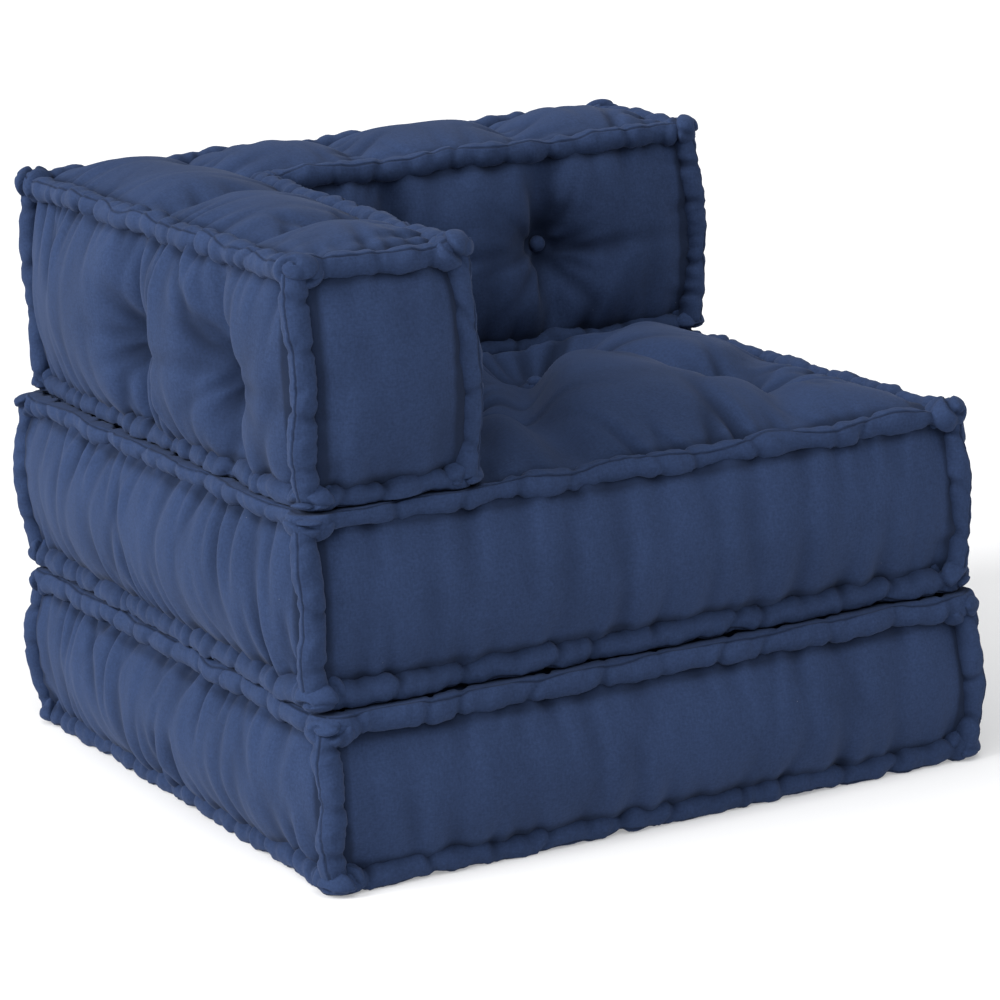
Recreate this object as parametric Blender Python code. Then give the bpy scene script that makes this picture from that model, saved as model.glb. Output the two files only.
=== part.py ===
"""Modular tufted floor seat: a base cushion, a seat cushion and an L-shaped back cushion.

Metres, +Z up. The origin is on the floor under the middle of the seat cushion, the front
of the seat faces -Y, and the arm is on the left, at -X. Each cushion is a cloth case of
separate panels around a filling. Every edge of the case is a stuffed roll, and tuft ties
with a covered button at each end pull pits into its faces.
"""
import math
from collections import namedtuple

import bmesh
import bpy
from mathutils import Vector

# Footprint, from roll centre to roll centre.
WIDTH = 0.675
DEPTH = 0.654
ARM_FRONT = 0.1515      # arm thickness at its front end
ARM_CORNER = 0.180      # arm thickness where it meets the back
BACK_THICK = 0.1715     # thickness of the back

# Heights of the roll centres.
BASE_LOW, BASE_HIGH = 0.0116, 0.1516
SEAT_LOW, SEAT_HIGH = 0.1816, 0.3384
BACK_LOW, BACK_HIGH = 0.3561, 0.5586

# The cushions don't sit quite square on one another.
BASE_SHIFT = (0.003, -0.012)
SEAT_SHIFT = (0.0, 0.0)
BACK_SHIFT = (0.006, 0.004)

# Cloth, rolls and gaps.
CLOTH = 0.0012          # thickness of a panel
GAP = 0.0004            # clearance between touching pieces
LAYER = 0.0003          # half the clearance between two cushions that press together
ROLL = 0.0105           # radius of a rolled edge
PRESSED_ROLL = 0.0084   # radius of the rolls squeezed between the seat and the back
UPRIGHT = 0.0125        # radius of an upright corner roll
INNER_UPRIGHT = 0.0080  # radius of the upright roll in the inner corner
INNER_STAND_OFF = 0.006 # how far that roll stands out of the inner corner
BOW = 0.012             # how far an upright roll bows out at mid-height
EDGE = UPRIGHT + 2 * GAP    # from the roll centres to the panels' borders
RECESS = 0.004          # how far a side panel's border lies behind the roll centres
SIDE_CROWN = 0.016      # how far a side panel bulges out from its border
BAND = 0.026            # distance from a border in which a panel rises steeply

# Heights of the cloth faces.
BASE_SEAT_PLANE = (BASE_HIGH + SEAT_LOW) / 2
SEAT_BACK_PLANE = (SEAT_HIGH + BACK_LOW) / 2
BACK_TOP_BORDER = BACK_HIGH + 0.004

# Crowns of the faces that nothing presses flat.
SEAT_CROWN = 0.022
SEAT_REACH = 0.12       # distance over which the seat rises to its full crown
BACK_CROWN = 0.022
BACK_REACH = 0.075
OPEN_MARGIN = 0.024     # the seat's crown starts this far from the arm and the back

# Tuft ties.
PIT = 0.012             # depth of a tuft's pit
PIT_REACH = 0.050       # distance over which a face slopes down to a tuft
BUTTON_RADIUS = 0.009
BUTTON_HEIGHT = 0.005
BUTTON_SEAT = 0.0048    # a button's underside lies this far above the pit's point
TWINE_RADIUS = 0.0011
TWINE_HOLE = 0.0022
BASE_TUFTS = ((-0.115, -0.110), (0.115, -0.110), (-0.115, 0.110), (0.115, 0.110))
SEAT_TUFTS = ((-0.235, 0.105), (-0.110, -0.105), (0.110, 0.105), (0.235, -0.105))
ARM_TUFTS_Y = (-0.174, 0.025)
ARM_TUFTS_Z = 0.4435
BACK_TUFTS_X = (-0.014, 0.173)
BACK_TUFTS_Z = 0.454

# Linear colours.
NAVY = (0.030, 0.047, 0.105)
NAVY_ROLL = (0.036, 0.056, 0.122)
NAVY_BUTTON = (0.044, 0.068, 0.145)
WADDING = (0.72, 0.68, 0.60)

Plan = namedtuple("Plan", "left right front back arm_front arm_corner back_thick corner_open")


def clear_scene():
    for obj in list(bpy.data.objects):
        bpy.data.objects.remove(obj, do_unlink=True)


def add_object(name, data, colour, parent, roughness=0.9):
    mat = bpy.data.materials.new(name)
    mat.use_nodes = True
    shader = mat.node_tree.nodes["Principled BSDF"]
    shader.inputs["Base Color"].default_value = (*colour, 1.0)
    shader.inputs["Roughness"].default_value = roughness
    shader.inputs["Metallic"].default_value = 0.0
    mat.diffuse_color = (*colour, 1.0)
    obj = bpy.data.objects.new(name, data)
    bpy.context.scene.collection.objects.link(obj)
    data.materials.append(mat)
    obj.parent = parent
    return obj


def mesh_from(bm, name):
    """Finish a closed bmesh: faces out, round where it is round."""
    bmesh.ops.recalc_face_normals(bm, faces=bm.faces)
    mesh = bpy.data.meshes.new(name)
    bm.to_mesh(mesh)
    bm.free()
    mesh.shade_smooth()
    mesh.set_sharp_from_angle(angle=math.radians(50))
    return mesh


# ---------------------------------------------------------------- footprints

def footprint(shift, corner_open):
    """Footprint through the roll centres: an L if corner_open, or else a rectangle."""
    x, y = shift
    sides = (x - WIDTH / 2, x + WIDTH / 2, y - DEPTH / 2, y + DEPTH / 2)
    if corner_open:
        return Plan(*sides, ARM_FRONT, ARM_CORNER, BACK_THICK, True)
    under_arm = ARM_CORNER + OPEN_MARGIN
    return Plan(*sides, under_arm, under_arm, BACK_THICK + OPEN_MARGIN, False)


def inset(plan, distance):
    """The same footprint with every side moved inwards."""
    twice = 2 * distance if plan.corner_open else distance
    return plan._replace(left=plan.left + distance, right=plan.right - distance,
                         front=plan.front + distance, back=plan.back - distance,
                         arm_front=plan.arm_front - twice,
                         arm_corner=plan.arm_corner - twice,
                         back_thick=plan.back_thick - twice)


def outline(plan):
    """Corners of the footprint, anticlockwise from the front left."""
    front_left = Vector((plan.left, plan.front))
    back_right = Vector((plan.right, plan.back))
    back_left = Vector((plan.left, plan.back))
    if not plan.corner_open:
        return [front_left, Vector((plan.right, plan.front)), back_right, back_left]
    inner_y = plan.back - plan.back_thick
    return [front_left,
            Vector((plan.left + plan.arm_front, plan.front)),
            Vector((plan.left + plan.arm_corner, inner_y)),
            Vector((plan.right, inner_y)),
            back_right,
            back_left]


def turns(corners):
    """For each corner, the directions in and out of it and whether it is concave."""
    for index, place in enumerate(corners):
        inward = (place - corners[index - 1]).normalized()
        onward = (corners[(index + 1) % len(corners)] - place).normalized()
        yield place, inward, onward, inward.cross(onward) < 0


def sides(plan):
    """For each side, the ends of its panel: clear of the roll in an inner corner."""
    corners = list(turns(outline(plan)))
    for here, there in zip(corners, corners[1:] + corners[:1]):
        run = here[2]
        start = here[0] + run * (2 * EDGE if here[3] else 0.0)
        end = there[0] - run * (2 * EDGE if there[3] else 0.0)
        yield start, end, Vector((run.y, -run.x))


def inside_distance(plan, point):
    """Distance from a point inside the footprint to its nearest side."""
    corners = outline(plan)
    nearest = math.inf
    for start, end in zip(corners, corners[1:] + corners[:1]):
        side = end - start
        along = max(0.0, min(1.0, (point - start).dot(side) / side.length_squared))
        nearest = min(nearest, (point - start - side * along).length)
    return nearest


def rise(distance, reach):
    """From 0 at a border to 1 at its reach: steep first, flat at the end."""
    return 1.0 - (1.0 - max(0.0, min(1.0, distance / reach))) ** 3


def bulge(fraction):
    """From 0 at both ends of a span to 1 over its middle."""
    return max(0.0, 1.0 - (2 * fraction - 1) ** 4)


def split_quad(bm, ring):
    """Two triangles over four points, always split from the first to the third."""
    bm.faces.new(ring[:3])
    bm.faces.new([ring[0], ring[2], ring[3]])


# ---------------------------------------------------------------- cushions

class Cushion:
    """One cushion: its lattice of points, and every piece built on it.

    Lattice lines run along X and Y through the tufts, the borders' bands and the inner
    corner, so the filling and the panels over it share their folds and never cross.
    """

    def __init__(self, prefix, plan, rolls, faces, lines_x, lines_y, tuft_height=None,
                 crown=None):
        self.prefix = prefix
        self.outer_plan = plan
        self.plan = inset(plan, EDGE)
        self.low_roll, self.low_radius, self.high_roll, self.high_radius = rolls
        self.low_face, self.high_face = faces
        self.low_edge = self.low_roll + self.low_radius + 2 * GAP
        self.high_edge = self.high_roll - self.high_radius - 2 * GAP
        self.tuft_height = tuft_height or (lambda point: (self.low_edge + self.high_edge) / 2)
        self.crown = crown
        self.parent = bpy.data.objects.new(f"{prefix}_cushion", None)
        bpy.context.scene.collection.objects.link(self.parent)
        self.face_pits = set()
        self.side_pits = []
        self.ties = []
        self.pierced = []
        self.lay_lattice(lines_x, lines_y)

    def lay_lattice(self, lines_x, lines_y):
        plan = self.plan
        inner_x = plan.left + plan.arm_corner
        inner_y = plan.back - plan.back_thick
        x_lines = {plan.left, plan.left + BAND, plan.right - BAND, plan.right}
        y_lines = {plan.front, plan.front + BAND, plan.back - BAND, plan.back}
        if self.crown:
            x_lines.add(inner_x)
            y_lines.add(inner_y)
        if plan.corner_open:
            x_lines |= {inner_x - BAND, inner_x + 2 * EDGE}
            y_lines |= {inner_y + BAND, inner_y - 2 * EDGE}
        self.x_lines = sorted(x_lines | set(lines_x))
        self.y_lines = sorted(y_lines | set(lines_y))
        self.points = {}
        for j, y in enumerate(self.y_lines):
            part_way = min(1.0, (y - plan.front) / (inner_y - plan.front))
            arm = plan.arm_front + (plan.arm_corner - plan.arm_front) * part_way
            for i, x in enumerate(self.x_lines):
                if x <= inner_x:
                    x = plan.left + (x - plan.left) * arm / plan.arm_corner
                self.points[i, j] = Vector((x, y))
        self.cells = [(i, j) for i, x in enumerate(self.x_lines[:-1])
                      for j, y in enumerate(self.y_lines[:-1])
                      if not plan.corner_open or x < inner_x or y >= inner_y]

    def mark_face_tufts(self, tufts):
        """Tufts through the top and bottom faces."""
        for x, y in tufts:
            i, j = self.x_lines.index(x), self.y_lines.index(y)
            self.face_pits.add((i, j))
            self.ties.append((self.face_point((i, j), False, -BUTTON_SEAT),
                              self.face_point((i, j), True, -BUTTON_SEAT)))

    def mark_side_tufts(self, outward, lines_x, lines_y):
        """Tufts through two opposite sides, at lattice lines and the tuft height."""
        for start, end, side_outward in sides(self.plan):
            if abs(side_outward.dot(outward)) < 0.9:
                continue
            for (i, j), point in self.points.items():
                on_line = self.x_lines[i] in lines_x or self.y_lines[j] in lines_y
                if on_line and self.along(point, start, end) is not None:
                    self.side_pits.append((i, j))

    @staticmethod
    def along(point, start, end):
        """Fraction of the way from start to end of a point on that side, or None."""
        run = end - start
        off_side = abs((point - start).cross(run)) / run.length
        fraction = (point - start).dot(run) / run.length_squared
        tolerance = 1e-3
        if off_side > 1e-5 or not -tolerance < fraction < 1 + tolerance:
            return None
        return fraction

    def level(self, k, point):
        """Height of a side panel's row of points, from its lower to its upper border."""
        rows = (self.low_edge, self.low_edge + BAND, self.tuft_height(point),
                self.high_edge - BAND, self.high_edge)
        return rows[k]

    def side_point(self, key, k, start, end, outward, depth):
        """Point on a side panel's outer face, or depth behind it towards the filling."""
        point = self.points[key]
        height = self.level(k, point)
        fraction = self.along(point, start, end)
        upright = (height - self.low_edge) / (self.high_edge - self.low_edge)
        swell = bulge(fraction) * bulge(upright)
        if depth:
            out = (EDGE - RECESS - depth + SIDE_CROWN) * swell
        else:
            out = EDGE - RECESS + SIDE_CROWN * swell
        if k == 2 and key in self.side_pits:
            out -= PIT
        place = point + outward * out
        return (place.x, place.y, height)

    def face_point(self, key, top, depth):
        """Point on the top or bottom face, or depth inside it."""
        point = self.points[key]
        sunk = depth + (PIT if key in self.face_pits else 0.0)
        if not top:
            return (point.x, point.y, self.low_face + sunk)
        lift = self.crown(point) if self.crown else 0.0
        return (point.x, point.y, self.high_face + lift - sunk)

    # ---- cloth

    def cloth(self, name, bm, colour=NAVY):
        """Give a sheet of cloth its thickness, inwards from its outer face."""
        mesh = bpy.data.meshes.new(name)
        bm.to_mesh(mesh)
        bm.free()
        obj = add_object(f"{self.prefix}_{name}", mesh, colour, self.parent)
        solid = obj.modifiers.new("cloth", "SOLIDIFY")
        solid.thickness = CLOTH
        solid.offset = -1.0
        solid.use_even_offset = False
        return obj

    def face_panel(self, name, top):
        bm = bmesh.new()
        verts = {}
        for i, j in self.cells:
            keys = [(i, j), (i + 1, j), (i + 1, j + 1), (i, j + 1)]
            for key in keys:
                if key not in verts:
                    verts[key] = bm.verts.new(self.face_point(key, top, 0.0))
            ring = [verts[key] for key in keys]
            split_quad(bm, ring if top else ring[::-1])
        obj = self.cloth(name, bm)
        if self.face_pits:
            self.pierced.append(obj)

    def side_panels(self, names):
        for name, (start, end, outward) in zip(names, sides(self.plan)):
            found = [(self.along(point, start, end), key) for key, point in self.points.items()
                     if self.along(point, start, end) is not None]
            stations = [key for _, key in sorted(found)]
            bm = bmesh.new()
            grid = [[bm.verts.new(self.side_point(key, k, start, end, outward, 0.0))
                     for k in range(5)] for key in stations]
            for low, high in zip(grid, grid[1:]):
                for k in range(4):
                    split_quad(bm, [low[k], high[k], high[k + 1], low[k + 1]])
            obj = self.cloth(f"{name}_panel", bm)
            if any(key in self.side_pits for key in stations):
                self.pierced.append(obj)

    # ---- rolls

    def tube(self, name, route, radius, closed):
        """Round bar along a route, from a bevelled curve."""
        curve = bpy.data.curves.new(name, "CURVE")
        curve.dimensions = "3D"
        curve.bevel_depth = radius
        curve.bevel_resolution = 2
        curve.use_fill_caps = not closed
        spline = curve.splines.new("POLY")
        spline.points.add(len(route) - 1)
        for point, place in zip(spline.points, route):
            point.co = (*place, 1.0)
        spline.use_cyclic_u = closed
        add_object(f"{self.prefix}_{name}", curve, NAVY_ROLL, self.parent)

    def rolled_edge(self, name, height, radius):
        """Closed ring of rolled edge around the footprint."""
        corner_radius = 0.014
        steps = 3
        route = []
        for place, inward, onward, _ in turns(outline(self.outer_plan)):
            first = place - inward * corner_radius
            last = place + onward * corner_radius
            for step in range(steps):
                t = step / (steps - 1)
                point = first * (1 - t) ** 2 + place * 2 * t * (1 - t) + last * t ** 2
                route.append((point.x, point.y, height))
        self.tube(name, route, radius, closed=True)

    def upright_rolls(self, names):
        """An upright rolled edge at each corner, bowed outwards at mid-height."""
        steps = 5
        for name, (place, inward, onward, concave) in zip(names, turns(outline(self.outer_plan))):
            outward = (inward - onward).normalized()
            radius = UPRIGHT
            if concave:
                outward = -outward
                radius = INNER_UPRIGHT
                place = place + outward * INNER_STAND_OFF
            route = []
            for step in range(steps + 1):
                t = step / steps
                bowed = place + outward * BOW * (1 - (2 * t - 1) ** 2)
                height = self.low_edge + (self.high_edge - self.low_edge) * t
                route.append((bowed.x, bowed.y, height))
            self.tube(f"{name}_upright_roll", route, radius, closed=False)

    # ---- inside

    def filling(self):
        """The wadding: one closed crowned solid behind the panels and the rolls."""
        depth = CLOTH + GAP
        occupied = set(self.cells)
        spans = list(sides(self.plan))
        corners = outline(self.plan)
        full_sides = list(zip(corners, corners[1:] + corners[:1]))
        top_level = 6
        bm = bmesh.new()
        verts = {}

        def place(key, k):
            if k in (0, top_level):
                return self.face_point(key, k == top_level, depth)
            point = self.points[key]
            x, y = point
            height = self.level(k - 1, point)
            for (start, end, outward), full in zip(spans, full_sides):
                if self.along(point, *full) is None:
                    continue
                if self.along(point, start, end) is None:
                    continue
                moved = self.side_point(key, k - 1, start, end, outward, depth)
                x += moved[0] - point.x
                y += moved[1] - point.y
            return (x, y, height)

        def vert(i, j, k):
            if (i, j, k) not in verts:
                verts[i, j, k] = bm.verts.new(place((i, j), k))
            return verts[i, j, k]

        for i, j in self.cells:
            ring = [(i, j), (i + 1, j), (i + 1, j + 1), (i, j + 1)]
            split_quad(bm, [vert(*key, top_level) for key in ring])
            split_quad(bm, [vert(*key, 0) for key in reversed(ring)])
            neighbours = [(i, j - 1), (i + 1, j), (i, j + 1), (i - 1, j)]
            for first, second, neighbour in zip(ring, ring[1:] + ring[:1], neighbours):
                if neighbour in occupied:
                    continue
                for k in range(top_level):
                    split_quad(bm, [vert(*first, k), vert(*second, k),
                                    vert(*second, k + 1), vert(*first, k + 1)])
        name = f"{self.prefix}_filling"
        obj = add_object(name, mesh_from(bm, name), WADDING, self.parent, roughness=0.95)
        self.pierced.append(obj)

    def tuft_ties(self):
        """Covered buttons joined by twine, and the holes that the twine passes through."""
        bm = bmesh.new()
        for number, (start, end) in enumerate(self.ties, start=1):
            start, end = Vector(start), Vector(end)
            axis = end - start
            turn = Vector((0, 0, 1)).rotation_difference(axis)
            self.tuft_tie(f"{self.prefix}_tuft_tie_{number}", start, turn, axis.length)
            hole = turn.to_matrix().to_4x4()
            hole.translation = (start + end) / 2
            bmesh.ops.create_cone(bm, cap_ends=True, segments=8, radius1=TWINE_HOLE,
                                  radius2=TWINE_HOLE, depth=axis.length, matrix=hole)
        name = f"{self.prefix}_twine_cutter"
        cutter = bpy.data.objects.new(name, mesh_from(bm, name))
        bpy.context.scene.collection.objects.link(cutter)
        cutter.hide_render = True
        cutter.display_type = "WIRE"
        for obj in self.pierced:
            cut = obj.modifiers.new("twine holes", "BOOLEAN")
            cut.operation = "DIFFERENCE"
            cut.solver = "EXACT"
            cut.object = cutter

    def tuft_tie(self, name, start, turn, length):
        """One tie, turned about its twine: a domed button, the twine, a domed button."""
        dome = ((0.0, 1.0), (0.62, 0.80), (1.0, 0.25), (0.92, 0.0))
        lower = [(reach * BUTTON_RADIUS, -height * BUTTON_HEIGHT) for reach, height in dome]
        upper = [(reach, length - height) for reach, height in reversed(lower)]
        profile = lower + [(TWINE_RADIUS, 0.0), (TWINE_RADIUS, length)] + upper
        bm = bmesh.new()
        verts = [bm.verts.new((reach, 0.0, height)) for reach, height in profile]
        edges = [bm.edges.new(pair) for pair in zip(verts, verts[1:])]
        bmesh.ops.spin(bm, geom=verts + edges, cent=(0, 0, 0), axis=(0, 0, 1),
                       angle=2 * math.pi, steps=8)
        bmesh.ops.remove_doubles(bm, verts=bm.verts, dist=1e-5)
        obj = add_object(name, mesh_from(bm, name), NAVY_BUTTON, self.parent, roughness=0.8)
        obj.location = start
        obj.rotation_mode = "QUATERNION"
        obj.rotation_quaternion = turn


def box_cushion(prefix, shift, rolls, faces, tufts, crown=None):
    """A rectangular cushion, tufted through its top and bottom."""
    tufts = [(x + shift[0], y + shift[1]) for x, y in tufts]
    slopes = (-PIT_REACH, 0.0, PIT_REACH)
    cushion = Cushion(prefix, footprint(shift, corner_open=False), rolls, faces,
                      [x + slope for x, _ in tufts for slope in slopes],
                      [y + slope for _, y in tufts for slope in slopes], crown=crown)
    cushion.mark_face_tufts(tufts)
    cushion.face_panel("bottom_panel", top=False)
    cushion.face_panel("top_panel", top=True)
    cushion.side_panels(("front", "right", "back", "left"))
    cushion.rolled_edge("bottom_rolled_edge", cushion.low_roll, cushion.low_radius)
    cushion.rolled_edge("top_rolled_edge", cushion.high_roll, cushion.high_radius)
    cushion.upright_rolls(("front_left", "front_right", "back_right", "back_left"))
    cushion.filling()
    cushion.tuft_ties()


def base_cushion():
    box_cushion("base", BASE_SHIFT, (BASE_LOW, ROLL, BASE_HIGH, ROLL),
                (0.0, BASE_SEAT_PLANE - LAYER), BASE_TUFTS)


def seat_cushion():
    plan = inset(footprint(SEAT_SHIFT, corner_open=False), EDGE)
    open_left = plan.left + plan.arm_corner
    open_back = plan.back - plan.back_thick

    def crown(point):
        """The seat swells only where the arm and the back don't press it flat."""
        nearest = min(point.x - open_left, plan.right - point.x,
                      open_back - point.y, point.y - plan.front)
        return SEAT_CROWN * rise(nearest, SEAT_REACH)

    box_cushion("seat", SEAT_SHIFT, (SEAT_LOW, ROLL, SEAT_HIGH, PRESSED_ROLL),
                (BASE_SEAT_PLANE + LAYER, SEAT_BACK_PLANE - LAYER), SEAT_TUFTS, crown)


def back_cushion():
    """The L-shaped cushion, tufted through its arm and through its back."""
    plan = footprint(BACK_SHIFT, corner_open=True)
    inner = inset(plan, EDGE)
    corner_y = inner.back - inner.back_thick

    def crown(point):
        return BACK_CROWN * rise(inside_distance(inner, point), BACK_REACH)

    def tuft_height(point):
        return ARM_TUFTS_Z if point.y < corner_y - EDGE else BACK_TUFTS_Z

    cushion = Cushion("back", plan, (BACK_LOW, PRESSED_ROLL, BACK_HIGH, ROLL),
                      (SEAT_BACK_PLANE + LAYER, BACK_TOP_BORDER),
                      BACK_TUFTS_X, ARM_TUFTS_Y, tuft_height, crown)
    cushion.mark_side_tufts(Vector((1, 0)), (), ARM_TUFTS_Y)
    cushion.mark_side_tufts(Vector((0, 1)), BACK_TUFTS_X, ())

    # A button's underside, measured outwards from the lattice's side points.
    stand_out = EDGE - RECESS + SIDE_CROWN - PIT + BUTTON_SEAT
    for y in ARM_TUFTS_Y:
        part_way = (y - inner.front) / (corner_y - inner.front)
        arm = inner.arm_front + (inner.arm_corner - inner.arm_front) * part_way
        cushion.ties.append(((inner.left - stand_out, y, ARM_TUFTS_Z),
                             (inner.left + arm + stand_out, y, ARM_TUFTS_Z)))
    for x in BACK_TUFTS_X:
        cushion.ties.append(((x, corner_y - stand_out, BACK_TUFTS_Z),
                             (x, inner.back + stand_out, BACK_TUFTS_Z)))

    cushion.face_panel("bottom_panel", top=False)
    cushion.face_panel("top_panel", top=True)
    cushion.side_panels(("arm_front", "arm_inner", "back_inner", "right_end", "back_outer",
                         "arm_outer"))
    cushion.rolled_edge("bottom_rolled_edge", cushion.low_roll, cushion.low_radius)
    cushion.rolled_edge("top_rolled_edge", cushion.high_roll, cushion.high_radius)
    cushion.upright_rolls(("arm_front_outer", "arm_front_inner", "inner_corner",
                           "right_end_inner", "right_end_outer", "rear_left"))
    cushion.filling()
    cushion.tuft_ties()


clear_scene()
base_cushion()
seat_cushion()
back_cushion()
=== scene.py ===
"""Looks for the modular tufted floor seat: simulated cotton cases, hand-sewn rolled edges,
covered buttons, cloth finishes, and the stage that it stands on."""
import math

import bpy
import numpy as np
from bpy.props import FloatProperty, FloatVectorProperty, IntProperty, PointerProperty
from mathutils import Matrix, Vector


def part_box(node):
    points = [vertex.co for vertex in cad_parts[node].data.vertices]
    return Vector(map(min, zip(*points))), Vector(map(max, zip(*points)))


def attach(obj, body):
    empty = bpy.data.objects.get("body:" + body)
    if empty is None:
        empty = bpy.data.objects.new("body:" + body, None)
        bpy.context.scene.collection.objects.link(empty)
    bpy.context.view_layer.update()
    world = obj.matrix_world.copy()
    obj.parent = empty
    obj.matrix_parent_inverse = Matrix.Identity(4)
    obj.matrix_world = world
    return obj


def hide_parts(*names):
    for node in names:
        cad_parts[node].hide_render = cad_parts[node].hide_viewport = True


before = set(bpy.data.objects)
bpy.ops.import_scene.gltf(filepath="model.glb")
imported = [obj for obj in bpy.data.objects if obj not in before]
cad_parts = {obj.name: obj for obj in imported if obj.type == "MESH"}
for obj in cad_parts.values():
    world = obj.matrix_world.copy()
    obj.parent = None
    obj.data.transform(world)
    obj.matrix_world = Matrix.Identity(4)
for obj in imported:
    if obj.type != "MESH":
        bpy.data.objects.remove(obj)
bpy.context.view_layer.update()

bl_info = {
    "name": "Tufted Floor Seat",
    "version": (1, 0, 0),
    "blender": (4, 5, 0),
    "location": "3D View > Sidebar > Floor Seat",
    "description": "Sews and stuffs the cushions of a modular floor seat",
    "category": "Object",
}

# ---------------------------------------------------------------- sizes from the frame

CUSHIONS = ("base", "seat", "back")
LEVELS = ("bottom", "top")
TUFTS = (1, 2, 3, 4)

EDGE = 0.0133               # from a roll's centre to the border of the stiff panels in the frame
MEETING_GAP = 0.0006        # how far cloth stays from the plane where two cushions meet
KNOB_GAP = 0.0014           # the same for a corner knob
CLOTH_THICKNESS = 0.001
MOST_SETTLED = 0.026        # furthest that cloth may move as it settles
WADDING_INSET = 0.0065
SIDE_CROWN = 0.029          # how far a gathered side swells
PLAIN_CROWN = 0.024         # how far a plain front or back swells
TOP_CROWNS = {"base": 0.012, "seat": 0.033, "back": 0.027}
BOTTOM_CROWN = 0.006
STITCH_PULL = 0.006         # how far a stitch draws a side's cloth in
STITCH_HOLD = 0.0125        # how far in from the roll a stitch holds the cloth
SQUARE_PITS = {"base": (-0.004, 0.040, 0.003), "seat": (0.003, 0.062, -0.004)}
UPRIGHT_BOWS = {("back", 2): 0.004, ("back", 5): 0.006, ("base", 3): 0.015, ("seat", 3): 0.013}
USUAL_BOW = 0.008
REAR_LEFT_SHIFTS = {"base": (-0.007, 0.002), "seat": (0.0, 0.0), "back": (0.012, -0.004)}

EDGE_SPARE = 0.0016         # a rolled edge is this much fuller than its core in the frame
MEETING_SPARE = 0.0013      # and this much fuller again where two cushions meet
MEETING_EDGES = (("back", "bottom"), ("seat", "top"), ("seat", "bottom"), ("base", "top"))
EDGE_STITCH_DEPTH = 0.17    # share of a roll's radius that its stitches draw in
UPRIGHT_STITCH_DEPTH = 0.06
SIDE_LOBES = 1.0            # how lumpy a rolled edge is on its panel side
FRONT_LOBES = 0.45
UPRIGHT_LOBES = 0.30
SEAM_TILT = math.radians(52)
RING_CORNER = 0.020         # reach of the curve at a ring's corner
INNER_CORNER = ("back", 2)  # the one corner that turns inward: it has no knobs
UPRIGHT_RADIUS = 0.0126
INNER_CORNER_RADIUS = 0.0095
UPRIGHT_STITCH = 0.048
KNOB_SIZES = np.array([0.0215, 0.0235, 0.0175])
KNOB_RINGS = 30
KNOB_SPOKES = 44
BUTTON_RADIUS = 0.0085
BUTTON_HEIGHT = 0.0050
BUTTON_PROFILE = ((1.0, -0.75), (1.02, -0.35), (0.97, 0.05), (0.86, 0.42), (0.68, 0.70),
                  (0.45, 0.90), (0.22, 0.98))
BUTTON_SPOKES = 28
TWINE_RADIUS = 0.0012
TWINE_SPOKES = 8


def ring_facts(node):
    """Height, radius and centre-line rectangle of a ring of rolled edge."""
    low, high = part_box(node)
    radius = (high.z - low.z) / 2
    return {"z": (low.z + high.z) / 2, "radius": radius, "lean": 0.0,
            "left": low.x + radius, "right": high.x - radius,
            "front": low.y + radius, "back": high.y - radius}


RINGS = {f"{cushion}_{level}": ring_facts(f"{cushion}_{level}_rolled_edge")
         for cushion in CUSHIONS for level in LEVELS}
RINGS["base_top"]["lean"] = 0.0032
RINGS["seat_bottom"]["lean"] = -0.0032
INNER_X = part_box("back_back_inner_panel")[0].x - EDGE
INNER_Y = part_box("back_right_end_panel")[0].y - EDGE
ARM_FRONT_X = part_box("back_arm_front_panel")[1].x + EDGE
BASE_TOP_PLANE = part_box("base_top_panel")[1].z
SEAT_BOTTOM_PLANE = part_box("seat_bottom_panel")[0].z
BACK_BOTTOM_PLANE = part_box("back_bottom_panel")[0].z
SEAT_TOP_PLANE = BACK_BOTTOM_PLANE - MEETING_GAP

# How far two of the seat's tufts have been sat forward of where they were tied.
SAT_FORWARD = {("seat", 3): Vector((-0.004, -0.036, 0.0)), ("seat", 4): Vector((-0.008, -0.026, 0.0))}


def tie_middle(number, prefix="back"):
    """Middle of a tuft's twine, moved to where the seat has been sat forward."""
    low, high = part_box(f"{prefix}_tuft_tie_{number}")
    return (low + high) / 2 + SAT_FORWARD.get((prefix, number), Vector((0, 0, 0)))


def arm_inner_x(y, front):
    """Where the arm's inner side is at a depth y: the arm narrows towards its front."""
    return ARM_FRONT_X + (INNER_X - ARM_FRONT_X) * ((y - front) / (INNER_Y - front))


def bell(distance, width):
    """1 at no distance, falling smoothly away over the width."""
    return np.exp(-(distance / width) ** 2)


def unit(vector):
    return vector / np.linalg.norm(vector)


def seeded(text, factor):
    """Random draws that are always the same for one piece."""
    return np.random.default_rng(sum(ord(letter) for letter in text) * factor)


# ---------------------------------------------------------------- user settings

class FLOORSEAT_PG_cloth(bpy.types.PropertyGroup):
    """Sizes of the cloth and how full the cases are."""
    pitch: FloatProperty(name="Cloth pitch", default=0.0078, unit="LENGTH",
                         description="Spacing of the simulated cloth's threads")
    fullness: FloatProperty(name="Fullness", default=1300.0,
                            description="Pressure of the wadding on the cloth")
    gather_side: FloatProperty(name="Side gather", default=0.10, subtype="FACTOR",
                               description="Spare cloth along the left and right sides")
    gather_front: FloatProperty(name="Front gather", default=0.045, subtype="FACTOR",
                                description="Spare cloth along the front and the back")
    settle_frames: IntProperty(name="Settling frames", default=24,
                               description="Frames for which the cloth settles")


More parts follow.
